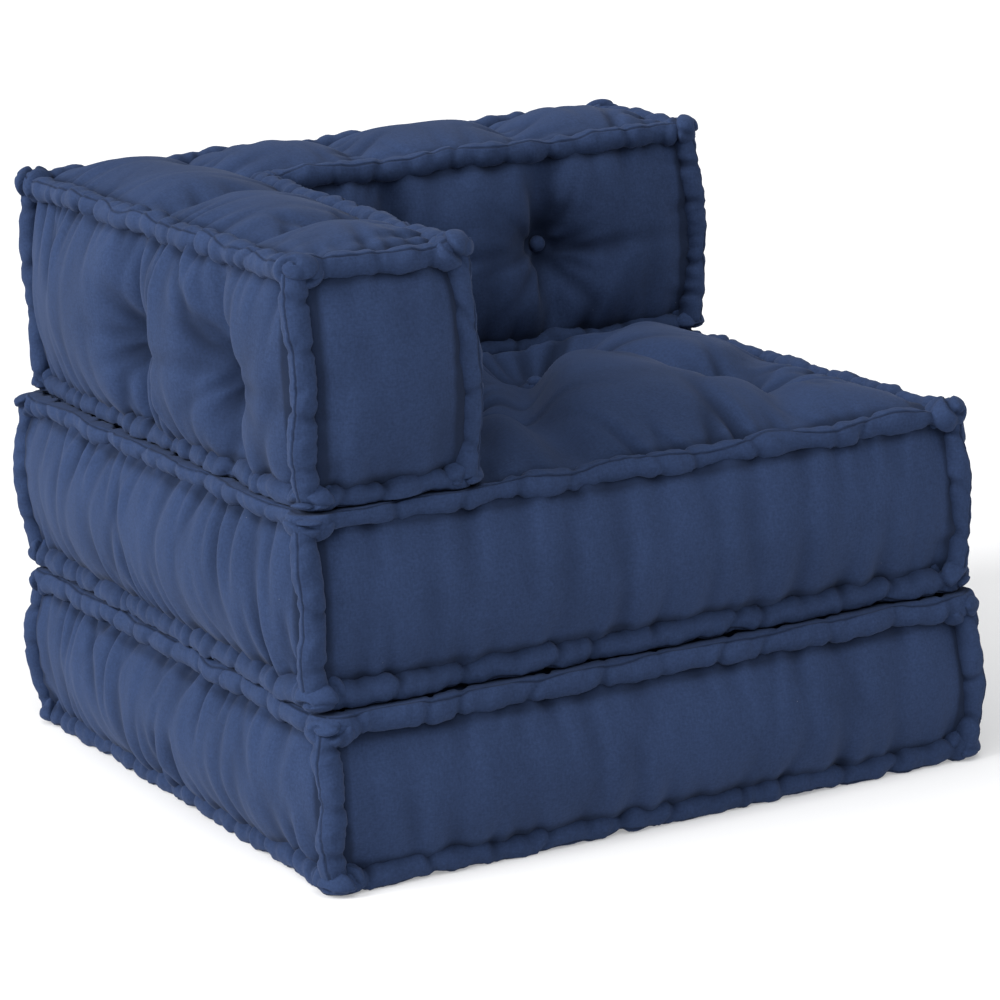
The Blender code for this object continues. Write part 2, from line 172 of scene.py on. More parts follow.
class FLOORSEAT_PG_roll(bpy.types.PropertyGroup):
    """Sizes of the rolled edges."""
    step: FloatProperty(name="Step along", default=0.0034, unit="LENGTH",
                        description="Spacing of the sections along a roll")
    around: IntProperty(name="Sections around", default=30,
                        description="Points around a roll")
    side_stitch: FloatProperty(name="Side stitch", default=0.047, unit="LENGTH",
                               description="Hand-stitch spacing on the left and right edges")
    front_stitch: FloatProperty(name="Front stitch", default=0.066, unit="LENGTH",
                                description="Hand-stitch spacing on the front and back edges")


class FLOORSEAT_PG_finish(bpy.types.PropertyGroup):
    """Colours and weave of the cotton."""
    navy: FloatVectorProperty(name="Navy", subtype="COLOR", size=3, default=(0.0246, 0.0424, 0.1000),
                              description="Colour of the cotton")
    seam: FloatVectorProperty(name="Seam", subtype="COLOR", size=3, default=(0.006, 0.009, 0.020),
                              description="Colour of the sewn seam along a roll's crest")
    thread: FloatProperty(name="Thread pitch", default=0.0011, unit="LENGTH",
                          description="Spacing of the threads in the weave")


def settings(name):
    """One of the groups of user settings."""
    return getattr(bpy.context.scene, f"floorseat_{name}")


# ---------------------------------------------------------------- outlines

def outline(prefix):
    """Corners of a cushion's roll lines, anticlockwise from the front left, and side names."""
    ring = RINGS[f"{prefix}_top"]
    left, right, front, back = (ring[key] for key in ("left", "right", "front", "back"))
    if prefix != "back":
        return ([(left, front), (right, front), (right, back), (left, back)],
                ["front", "right", "back", "left"])
    return ([(left, front), (ARM_FRONT_X, front), (INNER_X, INNER_Y), (right, INNER_Y),
             (right, back), (left, back)],
            ["arm_front", "arm_inner", "back_inner", "right_end", "back_outer", "arm_outer"])


STITCHES = {}   # places of the stitches, once they are chosen: cloth and rolls share them


def stitch_marks(prefix, level, side, length):
    """Places of the hand stitches along one side of a ring, from its first corner."""
    key = (prefix, level, side)
    if key not in STITCHES:
        roll = settings("roll")
        along_y = side in ("left", "right", "arm_inner", "arm_outer", "right_end")
        pitch = roll.side_stitch if along_y else roll.front_stitch
        seed = sum(ord(letter) * (3 + index) for index, letter in enumerate("_".join(key)))
        rng = np.random.default_rng(seed)
        margin = 0.022
        count = max(1, round((length - 2 * margin) / pitch))
        marks = margin + (length - 2 * margin) * np.arange(count + 1) / count
        marks[1:-1] += rng.uniform(-0.28, 0.28, count - 1) * pitch
        STITCHES[key] = marks
    return STITCHES[key]


def upright_marks(prefix, corner, length):
    """Places of the stitches up a corner roll, from its foot."""
    key = (prefix, "upright", str(corner))
    if key not in STITCHES:
        rng = np.random.default_rng(100 + 17 * corner + len(prefix) * 7 + ord(prefix[0]))
        count = max(2, round(length / UPRIGHT_STITCH))
        marks = length * (np.arange(count) + 0.5) / count
        marks += rng.uniform(-0.22, 0.22, count) * UPRIGHT_STITCH
        STITCHES[key] = marks
    return STITCHES[key]


# ---------------------------------------------------------------- the stuffed case

def spaced(marks, pitch):
    """Lattice lines through every mark, about pitch apart."""
    marks = sorted(marks)
    marks = [marks[0]] + [high for low, high in zip(marks, marks[1:]) if high - low > pitch / 2]
    lines = [marks[0]]
    for low, high in zip(marks, marks[1:]):
        count = max(1, round((high - low) / pitch))
        lines += [low + (high - low) * (step + 1) / count for step in range(count)]
    return np.array(lines)


def upright_bow(prefix, index, part):
    """How far a corner roll stands out from the corner, part of the way up."""
    reach = UPRIGHT_BOWS.get((prefix, index), USUAL_BOW)
    return reach * np.sin(math.pi * np.clip(part, 0, 1)) ** 0.8


def turn_at(corners, index):
    """Outward direction at a corner, halfway between its two sides."""
    before = unit(np.array(corners[index]) - np.array(corners[index - 1]))
    after = unit(np.array(corners[(index + 1) % len(corners)]) - np.array(corners[index]))
    return unit(np.array([before[1] + after[1], -before[0] - after[0]]))


def swell(fraction):
    """A blunt swelling: 0 at both ends of a side and 1 over most of it."""
    return np.clip(1 - (2 * fraction - 1) ** 4, 0, 1)


CLOTH_STRENGTH = {
    "quality": 5, "mass": 0.1, "air_damping": 1.0, "pin_stiffness": 1.0,
    "tension_stiffness": 80, "compression_stiffness": 80, "shear_stiffness": 20,
    "bending_stiffness": 0.05, "tension_damping": 8, "compression_damping": 8,
    "shear_damping": 8, "bending_damping": 0.5,
}


class Case:
    """The cloth case of one cushion, as one closed skin on a lattice."""

    def __init__(self, prefix):
        self.prefix = prefix
        self.creases = []
        self.low = RINGS[f"{prefix}_bottom"]
        self.high = RINGS[f"{prefix}_top"]
        self.corners, self.sides = outline(prefix)
        ring = self.high
        pitch = settings("cloth").pitch
        x_marks = [ring["left"], ring["right"]] + self.tuft_lines(0)
        y_marks = [ring["front"], ring["back"]] + self.tuft_lines(1)
        if prefix == "back":
            x_marks.append(INNER_X)
            y_marks.append(INNER_Y)
        self.x = spaced(x_marks, pitch)
        self.y = spaced(y_marks, pitch)
        self.z = spaced([self.low["z"], self.high["z"]], pitch)
        self.build()

    def tuft_lines(self, axis):
        """Lattice lines wanted through the tufts."""
        numbers = TUFTS
        if self.prefix == "back":
            numbers = TUFTS[:2] if axis else TUFTS[2:]
        return [tie_middle(number, self.prefix)[axis] for number in numbers]

    def filled(self, i, j):
        """Whether the cushion fills a cell of the lattice's plan."""
        if not (0 <= i < len(self.x) - 1 and 0 <= j < len(self.y) - 1):
            return False
        if self.prefix != "back":
            return True
        return self.x[i] < INNER_X - 1e-6 or self.y[j] > INNER_Y - 1e-6

    def side_name(self, direction, i, j):
        """Name of the side that a wall of cell i, j belongs to."""
        if self.prefix != "back":
            return {(0, -1): "front", (1, 0): "right", (0, 1): "back", (-1, 0): "left"}[direction]
        if direction == (0, -1):
            return "arm_front" if self.x[i] < INNER_X - 1e-6 else "back_inner"
        if direction == (1, 0):
            return "arm_inner" if self.y[j] < INNER_Y - 1e-6 else "right_end"
        return "back_outer" if direction == (0, 1) else "arm_outer"

    def plan_point(self, i, j):
        """Place of a lattice line crossing, with the arm narrowing towards its front."""
        x, y = self.x[i], self.y[j]
        if self.prefix == "back" and x < INNER_X + 1e-6 and y < INNER_Y:
            arm = arm_inner_x(y, self.high["front"]) - self.high["left"]
            x = self.high["left"] + (x - self.high["left"]) * arm / (INNER_X - self.high["left"])
        return x, y

    def build(self):
        """Number the skin's points and list its quads, side by side."""
        nz = len(self.z) - 1
        self.keys, index = [], {}
        self.quads, self.quad_side = [], []

        def number(key):
            if key not in index:
                index[key] = len(self.keys)
                self.keys.append(key)
            return index[key]

        def quad(side, *keys):
            self.quads.append([number(key) for key in keys])
            self.quad_side.append(side)

        for i in range(len(self.x) - 1):
            for j in range(len(self.y) - 1):
                if not self.filled(i, j):
                    continue
                ring = [(i, j), (i + 1, j), (i + 1, j + 1), (i, j + 1)]
                quad("top", *[(a, b, nz) for a, b in ring])
                quad("bottom", *[(a, b, 0) for a, b in reversed(ring)])
                walls = zip(ring, ring[1:] + ring[:1], ((0, -1), (1, 0), (0, 1), (-1, 0)))
                for (a, b), (c, d), step in walls:
                    if self.filled(i + step[0], j + step[1]):
                        continue
                    side = self.side_name(step, i, j)
                    for k in range(nz):
                        quad(side, (a, b, k), (c, d, k), (c, d, k + 1), (a, b, k + 1))
        self.quads = np.array(self.quads)
        self.quad_side = np.array(self.quad_side)
        flat = np.array([[*self.plan_point(i, j), self.z[k]] for i, j, k in self.keys])
        self.flat = flat
        count = len(flat)
        self.on = {}
        for side in set(self.quad_side):
            mask = np.zeros(count, bool)
            mask[np.unique(self.quads[self.quad_side == side])] = True
            self.on[side] = mask
        self.border = sum(mask.astype(int) for mask in self.on.values()) > 1

    # ---- first shape, pins and spare cloth

    def side_frame(self, side):
        """Start corner, direction along, outward direction and length of an upright side."""
        index = self.sides.index(side)
        start = np.array(self.corners[index])
        end = np.array(self.corners[(index + 1) % len(self.corners)])
        run = end - start
        length = np.linalg.norm(run)
        run = run / length
        return start, run, np.array([run[1], -run[0]]), length

    def inward(self, side):
        """Direction from one side into the wadding."""
        if side in LEVELS:
            return np.array([0, 0, -1.0 if side == "top" else 1.0])
        outward = self.side_frame(side)[2]
        return np.array([-outward[0], -outward[1], 0.0])

    def flat_place(self, side, chosen):
        """Flat coordinates of chosen points on one side, in metres."""
        flat = self.flat[chosen]
        if side in ("top", "bottom"):
            return flat[:, :2].copy()
        start, run, _, _ = self.side_frame(side)
        return np.column_stack([(flat[:, :2] - start) @ run, flat[:, 2]])

    def shape(self):
        """First shape of the case before the cloth settles, and the pinned points."""
        place = self.flat.copy()
        pins = self.border.astype(float)
        height = self.high["z"] - self.low["z"]
        for side in self.sides:
            start, run, outward, length = self.side_frame(side)
            chosen = self.on[side] & ~self.border
            along = (self.flat[chosen, :2] - start) @ run
            up = self.flat[chosen, 2] - self.low["z"]
            crown = (SIDE_CROWN if gathered(side) else PLAIN_CROWN) * swell(along / length)
            crown = crown * swell(up / height)
            pinch = np.zeros(len(along))
            for level, distance in (("bottom", up), ("top", height - up)):
                marks = stitch_marks(self.prefix, level, side, length)
                near = self.near(along, marks)
                pinch = np.maximum(pinch, near * bell(distance, 0.022))
            moved = crown - STITCH_PULL * pinch
            place[chosen, :2] += outward * moved[:, None]
            held = (pinch > 0.62) & (np.minimum(up, height - up) < STITCH_HOLD)
            pins[np.flatnonzero(chosen)[held]] = 1.0
        self.crown_faces(place)
        for index in range(len(self.corners)):
            self.bow_corner(index, place)
        self.place, self.pins = place, pins

    def bow_corner(self, index, place):
        """Carry the case out to a bowed corner roll."""
        corner = np.array(self.corners[index])
        out = turn_at(self.corners, index)
        walls = ~(self.on["top"] | self.on["bottom"])
        part = (self.flat[walls, 2] - self.low["z"]) / (self.high["z"] - self.low["z"])
        gap = np.linalg.norm(self.flat[walls, :2] - corner, axis=1)
        carried = upright_bow(self.prefix, index, part) * np.exp(-(gap / 0.030) ** 2)
        place[walls, :2] += out * carried[:, None]

    @staticmethod
    def near(along, marks, reach=0.0055):
        """1 at a stitch and 0 between stitches."""
        gap = np.abs(along[:, None] - marks[None, :]).min(axis=1)
        return np.exp(-(gap / reach) ** 2)

    def crown_faces(self, place):
        """Swell the top and the bottom."""
        reach = 0.048 if self.prefix == "seat" else 0.040
        for face, crown in (("top", TOP_CROWNS[self.prefix]), ("bottom", -BOTTOM_CROWN)):
            chosen = self.on[face] & ~self.border
            distance = self.border_distance(self.flat[chosen, :2])
            place[chosen, 2] += crown * (1 - np.exp(-(distance / reach) ** 1.5))

    def border_distance(self, points):
        """How far points in plan are from the nearest roll line."""
        nearest = np.full(len(points), np.inf)
        for side in self.sides:
            start, run, _, length = self.side_frame(side)
            along = np.clip((points - start) @ run, 0, length)
            gap = np.linalg.norm(points - start - along[:, None] * run, axis=1)
            nearest = np.minimum(nearest, gap)
        return nearest

    def pin_pit(self, side, centre, depth, reach=0.0065, slope=0.030):
        """Pull a tuft into one side: centre is where it is on the side's flat plane."""
        chosen = self.on[side] & ~self.border
        gap = np.linalg.norm(self.flat[chosen] - np.array(centre), axis=1)
        inward = self.inward(side)
        level = (self.place[chosen] - self.flat[chosen]) @ inward
        near = bell(gap, slope)
        held = gap < reach
        target = np.where(held, depth, depth * near + level * (1 - near))
        self.place[chosen] = self.flat[chosen] + inward * target[:, None]
        self.pins[np.flatnonzero(chosen)[held]] = 1.0

    # ---- simulation

    def hang(self):
        """The case as a cloth object, pinned at its stitches and ready to settle."""
        cloth = settings("cloth")
        mesh = bpy.data.meshes.new(f"{self.prefix}_case")
        mesh.from_pydata(self.place.tolist(), [], self.quads.tolist())
        obj = bpy.data.objects.new(f"{self.prefix}_case", mesh)
        bpy.context.scene.collection.objects.link(obj)
        group = obj.vertex_groups.new(name="pins")
        group.add(np.flatnonzero(self.pins > 0.5).tolist(), 1.0, "REPLACE")
        obj.shape_key_add(name="Basis")
        loose = obj.shape_key_add(name="spare cloth")
        spare = np.array([1 + cloth.gather_front, 1 + cloth.gather_side, 1.0 + 0.04])
        loose.data.foreach_set("co", (self.place * spare).ravel())
        loose.value = 0.0
        modifier = obj.modifiers.new("cloth", "CLOTH")
        weave = modifier.settings
        for name, value in CLOTH_STRENGTH.items():
            setattr(weave, name, value)
        weave.use_pressure = True
        weave.uniform_pressure_force = cloth.fullness
        weave.vertex_group_mass = "pins"
        weave.rest_shape_key = loose
        weave.effector_weights.gravity = 0.0
        modifier.collision_settings.use_collision = False
        modifier.collision_settings.use_self_collision = False
        modifier.point_cache.frame_start = 1
        modifier.point_cache.frame_end = cloth.settle_frames
        return obj

    def keep(self, obj):
        """Read the settled shape back, cap how far it moved, and remove the cloth object."""
        graph = bpy.context.evaluated_depsgraph_get()
        settled = obj.evaluated_get(graph).to_mesh()
        place = np.empty(len(settled.vertices) * 3)
        settled.vertices.foreach_get("co", place)
        place = place.reshape(-1, 3)
        obj.evaluated_get(graph).to_mesh_clear()
        moved = place - self.place
        length = np.linalg.norm(moved, axis=1)
        scale = np.where(length > MOST_SETTLED, MOST_SETTLED / np.maximum(length, 1e-9), 1.0)
        self.place = self.place + moved * scale[:, None]
        bpy.data.objects.remove(obj, do_unlink=True)


def settle_cases(cases):
    """Step the frames once for all the cases together."""
    cloth = settings("cloth")
    scene = bpy.context.scene
    objects = [case.hang() for case in cases]
    scene.frame_start = 1
    scene.frame_end = cloth.settle_frames
    for number in range(1, cloth.settle_frames + 1):
        scene.frame_set(number)
    for case, obj in zip(cases, objects):
        case.keep(obj)
    scene.frame_set(1)


# ---------------------------------------------------------------- pits, valleys and planes

def polyline_gap(points, path, values):
    """Distance of each point to a line of straight runs, and the value carried along it there."""
    best = np.full(len(points), np.inf)
    carried = np.zeros(len(points))
    for start, end, low, high in zip(path, path[1:], values, values[1:]):
        run = np.array(end) - np.array(start)
        part = np.clip((points - start) @ run / (run @ run), 0, 1)
        gap = np.linalg.norm(points - start - part[:, None] * run, axis=1)
        closer = gap < best
        best[closer] = gap[closer]
        carried[closer] = (low + (high - low) * part)[closer]
    return best, carried


def sink(case, side, path, depths, held=0.0046, slope=0.024):
    """Hold the cloth of one side down along a line; depths are measured inward from the roll plane."""
    chosen = case.on[side] & ~case.border
    inward = case.inward(side)
    gap, depth = polyline_gap(case.flat[chosen], [np.array(point) for point in path], depths)
    level = (case.place[chosen] - case.flat[chosen]) @ inward
    near = bell(gap, slope)
    pinned = gap < held
    target = np.where(pinned, depth, depth * near + level * (1 - near))
    rest = case.place[chosen] - case.flat[chosen] - level[:, None] * inward
    case.place[chosen] = case.flat[chosen] + rest * ~pinned[:, None] + inward * target[:, None]
    case.pins[np.flatnonzero(chosen)[pinned]] = 1.0


def tuft_square(case):
    """Pits at the four ties of a square cushion."""
    top_depth, top_slope, bottom_depth = SQUARE_PITS[case.prefix]
    for number in TUFTS:
        x, y, _ = tie_middle(number, case.prefix)
        case.pin_pit("top", (x, y, case.high["z"]), top_depth, slope=top_slope)
        case.pin_pit("bottom", (x, y, case.low["z"]), bottom_depth)


def top_valley(case, path, dip=-0.006, held=0.0043):
    """A valley across the L's top between two puffs."""
    sink(case, "top", path, [0.001, dip, dip, 0.001], held=held, slope=0.030)
    case.creases.append([point[:2] for point in path])


def tuft_back(case):
    """Pits through the arm and the back, and the valleys that run from them."""
    left, back, front = (case.high[key] for key in ("left", "back", "front"))
    top, bottom = case.high["z"], case.low["z"]
    for number, lean in ((1, 0.012), (2, -0.010)):
        _, y, z = tie_middle(number)
        inner_x = arm_inner_x(y, front)
        outer_depth = 0.024
        for side, x, depth in (("arm_outer", left, outer_depth), ("arm_inner", inner_x, 0.018)):
            case.pin_pit(side, (x, y, z), depth, slope=0.040)
        up = [(left, y, z), (left, y + lean, z + 0.040), (left, y + lean * 0.3, z + 0.078),
              (left, y, top)]
        down = [(left, y, z), (left, y - lean, z - 0.036), (left, y - lean * 0.5, bottom)]
        sink(case, "arm_outer", up, [outer_depth, 0.0065, -0.001, 0.0], held=0.0040)
        sink(case, "arm_outer", down, [outer_depth, 0.006, 0.0], held=0.0040)
        top_valley(case, [(left, y, top), (left + 0.05, y - lean * 0.6, top),
                          (inner_x - 0.05, y + lean * 0.6, top), (inner_x, y, top)])
    for number, lean in ((3, 0.010), (4, -0.012)):
        x, _, z = tie_middle(number)
        for side, y, depth in (("back_inner", INNER_Y, 0.018), ("back_outer", back, 0.020)):
            case.pin_pit(side, (x, y, z), depth, slope=0.034)
            up = [(x, y, z), (x + lean, y, z + 0.045), (x, y, top)]
            down = [(x, y, z), (x - lean, y, z - 0.045), (x, y, bottom)]
            for path in (up, down):
                sink(case, side, path, [depth, 0.002, 0.001], held=0.0036, slope=0.018)
        top_valley(case, [(x, INNER_Y, top), (x + lean * 0.6, INNER_Y + 0.05, top),
                          (x - lean * 0.6, back - 0.05, top), (x, back, top)])
    corner = [(INNER_X, INNER_Y, top), (INNER_X - 0.03, INNER_Y + 0.06, top),
              (INNER_X - 0.02, back - 0.05, top), (INNER_X - 0.045, back, top)]
    top_valley(case, corner, dip=-0.008, held=0.0040)


def outside_back(points):
    """How far points in plan lie outside the back cushion's outline."""
    x, y = points[:, 0], points[:, 1]
    front = RINGS["back_bottom"]["front"]
    from_arm = np.maximum(x - arm_inner_x(np.clip(y, front, INNER_Y), front), 0)
    from_back = np.maximum(INNER_Y - y, 0)
    return np.minimum(from_arm, from_back)


def smooth_step(part):
    """0 to 1 with a soft start and end."""
    part = np.clip(part, 0, 1)
    return part * part * (3 - 2 * part)


def settle_corner(prefix, points):
    """The rear left corners don't stand exactly above each other: carry the cloth there."""
    shift = np.array(REAR_LEFT_SHIFTS[prefix])
    ring = RINGS[f"{prefix}_top"]
    leftward = np.clip((ring["right"] - points[:, 0]) / (ring["right"] - ring["left"]), 0, 1)
    rearward = np.clip((points[:, 1] - ring["front"]) / (ring["back"] - ring["front"]), 0, 1)
    points[:, :2] += (leftward ** 3 * rearward ** 2)[:, None] * shift
    return points


def press(prefix, points, gap=MEETING_GAP):
    """Settle the rear left corner, and press points flat where cushions and floor meet."""
    points = settle_corner(prefix, points)
    low_plane = {"base": 0.0, "seat": SEAT_BOTTOM_PLANE, "back": BACK_BOTTOM_PLANE}[prefix]
    points[:, 2] = np.maximum(points[:, 2], low_plane + gap)
    if prefix == "base":
        points[:, 2] = np.minimum(points[:, 2], BASE_TOP_PLANE - gap)
    if prefix == "seat":
        clear = outside_back(points)
        ceiling = SEAT_TOP_PLANE - gap + 0.06 * smooth_step((clear - 0.008) / 0.075)
        points[:, 2] = np.minimum(points[:, 2], ceiling)
    return points


# ---------------------------------------------------------------- folds

def fold(points, origin, direction, reach, width, depth, spread=4.0):
    """Depth, at each point of a flat side, of one fold that starts at a stitch and dies away."""
    away = points - np.array(origin)
    direction = unit(np.array(direction))
    along = away @ direction
    across = away @ np.array([-direction[1], direction[0]])
    begun = np.clip((along + 0.004) / 0.008, 0, 1)
    ahead = np.clip(along, 0, None)
    return depth * begun * bell(across, width * (1 + spread * ahead)) * bell(ahead, reach)


def gathered(side):
    """Whether a side runs front to back, where the spare cloth is gathered."""
    return side in ("left", "right", "arm_outer", "arm_inner", "right_end")


def border_folds(points, marks, start, run, inward, strength, reach, rng):
    """Folds that run inward from the stitches along one border."""
    total = np.zeros(len(points))
    places = []
    phase = rng.random() * 2 * math.pi
    for first, second in zip(marks, marks[1:]):
        places += [(first, 1.0), ((first + second) / 2 + rng.uniform(-0.004, 0.004), 0.75)]
    places.append((marks[-1], 1.0))
    for place, share in places:
        origin = start + run * place
        lean = rng.normal(0, 0.26)
        far = reach * rng.uniform(0.30, 1.45) * share
        patch = 0.72 + 0.48 * math.sin(2 * math.pi * place / 0.31 + phase)
        deep = strength * share * rng.uniform(0.45, 1.30) * patch
        width = rng.uniform(0.0048, 0.0078)
        total += fold(points, origin, inward + run * lean, far, width, deep)
        ridge = origin + run * rng.uniform(0.009, 0.013)
        total -= fold(points, ridge, inward + run * lean * 1.4, far * 0.9, width * 1.3, deep * 0.55)
    return total


def round_folds(points, centre, count, reach, depth, rng):
    """Folds that run out from a tuft."""
    total = np.zeros(len(points))
    for number in range(count):
        angle = 2 * math.pi * (number + rng.uniform(-0.3, 0.3)) / count
        way = np.array([math.cos(angle), math.sin(angle)])
        bend = np.array([-way[1], way[0]]) * rng.normal(0, 0.18)
        origin = np.array(centre) + way * 0.010
        total += fold(points, origin, way + bend, reach * rng.uniform(0.5, 1.3),
                      rng.uniform(0.0045, 0.0070), depth * rng.uniform(0.6, 1.2), 6.0)
    return total


def low_waves(points, amplitude, rng):
    """A low unevenness in every direction."""
    value = np.zeros(len(points))
    for _ in range(9):
        angle = rng.uniform(0, math.pi)
        length = rng.uniform(0.05, 0.16)
        phase = rng.random() * 2 * math.pi
        value += np.sin(2 * math.pi * (points @ [math.cos(angle), math.sin(angle)]) / length + phase)
    return amplitude * value / 3


def drawn_waves(points, amplitude, low, height, rng):
    """Soft waves up a wall, drawn by the stitches above and below it."""
    value = np.zeros(len(points))
    for _ in range(6):
        length = rng.uniform(0.028, 0.075)
        lean = rng.uniform(-0.25, 0.25)
        up = np.clip((points[:, 1] - low) / height, 0, 1)
        fade = 0.35 + 0.65 * np.abs(up - rng.uniform(0.2, 0.8))
        phase = rng.random() * 2 * math.pi
        value += fade * np.sin(2 * math.pi * (points[:, 0] + lean * points[:, 1]) / length + phase)
    return amplitude * value


def seat_valleys(case):
    """Lines across the seat's top along which the cloth dips, with how much and how widely."""
    ring = case.high
    first, second, third, fourth = [tuple(tie_middle(number, "seat")[:2]) for number in (1, 2, 3, 4)]
    front, right, back = ring["front"], ring["right"], ring["back"]
    return [
        ([first, (-0.17, 0.0), second], 0.45, 0.024),
        ([third, fourth], 0.52, 0.026),
        ([third, (0.02, 0.03), (-0.10, 0.06)], 0.50, 0.026),
        ([third, (0.03, -0.05), (-0.03, -0.16), (-0.06, front)], 0.66, 0.027),
        ([third, (0.19, 0.10), (0.27, 0.16), (0.29, back)], 0.50, 0.024),
        ([fourth, (0.29, -0.06), (right, 0.0)], 0.48, 0.024),
        ([fourth, (0.29, -0.22), (right, -0.26)], 0.36, 0.020),
        ([fourth, (0.20, -0.24), (0.17, front)], 0.36, 0.020),
        ([second, (-0.03, -0.05), third], 0.45, 0.026),
        ([second, (-0.12, -0.22), (-0.15, front)], 0.50, 0.024),
    ]


def side_tufts(case, side):
    """Places of the tufts on one side, in that side's flat coordinates."""
    if case.prefix != "back":
        if side not in ("top", "bottom"):
            return []
        return [tuple(tie_middle(number, case.prefix)[:2]) for number in TUFTS]
    found = []
    if side in ("arm_outer", "arm_inner", "back_inner", "back_outer"):
        start, run, _, _ = case.side_frame(side)
        on_arm = side.startswith("arm")
        for number in (TUFTS[:2] if on_arm else TUFTS[2:]):
            x, y, z = tie_middle(number)
            plan = np.array([start[0], y]) if on_arm else np.array([x, start[1]])
            found.append((float((plan - start) @ run), z))
    return found


def dip_seat(case, height, flat):
    """Lower the seat's crown along the valleys between its puffs and round its tufts."""
    clear = 0.35 + 0.65 * np.clip(outside_back(flat) / 0.06, 0, 1)
    for path, share, width in seat_valleys(case):
        gap, _ = polyline_gap(flat, [np.array(point) for point in path], [0] * len(path))
        height = height * (1 - share * clear * bell(gap, width))
    for centre in side_tufts(case, "top"):
        gap = np.linalg.norm(flat - np.array(centre), axis=1)
        height = height * (1 - 1.12 * bell(gap, 0.050))
    return height


def crease_folds(case, flat, rng):
    """Short folds that run off the valleys across the L's top, to both sides."""
    depth = np.zeros(len(flat))
    for path in case.creases:
        for low, high in zip(path, path[1:]):
            way = np.array(high) - np.array(low)
            across = unit(np.array([-way[1], way[0]]))
            for part in (0.2, 0.7):
                origin = np.array(low) + way * part
                for turn in (across, -across):
                    aim_way = turn + unit(way) * rng.normal(0, 0.5)
                    depth += fold(flat, origin, aim_way, rng.uniform(0.02, 0.05), 0.006, 0.0044, 6.0)
    return depth


def flat_relief(case, side, points, flat, rng):
    """Depth of the folds of a top or a bottom, and the painted shade along its border; dips the seat.
    """
    if case.prefix == "seat" and side == "top":
        ring_z = case.high["z"]
        points[:, 2] = ring_z + dip_seat(case, points[:, 2] - ring_z, flat)
    depth = np.zeros(len(points))
    for name in case.sides:
        start, run, outward, length = case.side_frame(name)
        marks = stitch_marks(case.prefix, side, name, length)
        strength = 0.0052 if gathered(name) or case.prefix == "seat" else 0.0042
        strength *= 1.7 if case.prefix == "seat" and name == "front" else 1.0
        depth += border_folds(flat, marks, start, run, -outward, strength, 0.072, rng)
    for centre in side_tufts(case, side):
        depth += round_folds(flat, centre, 13, 0.090, 0.0078, rng)
    if side == "top":
        depth += crease_folds(case, flat, rng)
    edge = case.border_distance(flat)
    # painted shade: a dark band just inside the roll lines, where the rolls shade the panel
    return depth, 1.5 * bell(np.clip(edge - 0.012, 0, None), 0.0070)


# Direction, reach and depth of the four longer creases that run out from a tuft on a wall.
TUFT_CREASES = (((0.05, 1.0), 0.080, 0.0055), ((-0.10, -1.0), 0.070, 0.0040),
                ((1.0, 0.02), 0.130, 0.0040), ((-1.0, 0.08), 0.080, 0.0025))


def wall_relief(case, side, flat, rng):
    """Depth of the folds of an upright side, and the painted shade along its border."""
    depth = np.zeros(len(flat))
    _, _, _, length = case.side_frame(side)
    low, high = case.low["z"], case.high["z"]
    height = high - low
    strength = 0.0060 if gathered(side) else 0.0021
    reach = height * (0.52 if gathered(side) else 0.34)
    along, up = np.array([1.0, 0.0]), np.array([0.0, 1.0])
    for level, z, inward in (("bottom", low, up), ("top", high, -up)):
        marks = stitch_marks(case.prefix, level, side, length)
        depth += border_folds(flat, marks, up * z, along, inward, strength, reach, rng)
    first = case.sides.index(side)
    last = (first + 1) % len(case.corners)
    for index, distance, inward in ((first, 0.0, along), (last, length, -along)):
        marks = low + upright_marks(case.prefix, index, height)
        depth += border_folds(flat, marks, along * distance, up, inward, 0.0020, 0.030, rng)
    for centre in side_tufts(case, side):
        depth += round_folds(flat, centre, 11, 0.060, 0.0052, rng)
        for way, far, deep in TUFT_CREASES:
            depth += fold(flat, centre, way, far, 0.0070, deep, 3.0)
    depth += drawn_waves(flat, 0.0009, low, height, rng)
    upright_edge = np.minimum(flat[:, 0], length - flat[:, 0])
    level_edge = np.minimum(flat[:, 1] - low, high - flat[:, 1])
    # painted shade: dark bands just inside the corner rolls and the top and bottom rolls, where the
    # rolls shade the wall
    return depth, (1.9 * bell(np.clip(upright_edge - 0.013, 0, None), 0.0040)
                   + 1.2 * bell(np.clip(level_edge - 0.011, 0, None), 0.0045))


def relief(case, side, points, flat, normals):
    """Add the puffs' valleys and the gathered folds to the settled cloth of one side, and give the
    painted shade in its folds and along its border.
    """
    rng = seeded(case.prefix + side, 7)
    if side in LEVELS:
        depth, painted_border_shade = flat_relief(case, side, points, flat, rng)
    else:
        depth, painted_border_shade = wall_relief(case, side, flat, rng)
    depth += low_waves(flat, 0.0007, rng)
    # painted shade: darker where the folds are deeper, plus the band along the border
    return points - normals * depth[:, None], np.clip(depth / 0.005, -0.6, 1.4) + painted_border_shade


# ---------------------------------------------------------------- meshes

def read(items, key, width, kind=np.float32):
    """One property of all of a mesh's points or corners, as rows."""
    values = np.empty(len(items) * width, kind)
    items.foreach_get(key, values)
    return values.reshape(-1, width)


def mark(mesh, title, values):
    """Store one value at each point, for the finishes to use."""
    attribute = mesh.attributes.new(title, "FLOAT", "POINT")
    attribute.data.foreach_set("value", values.astype(np.float32))


def move_points(mesh, points):
    mesh.vertices.foreach_set("co", points.astype(np.float32).ravel())
    mesh.update()


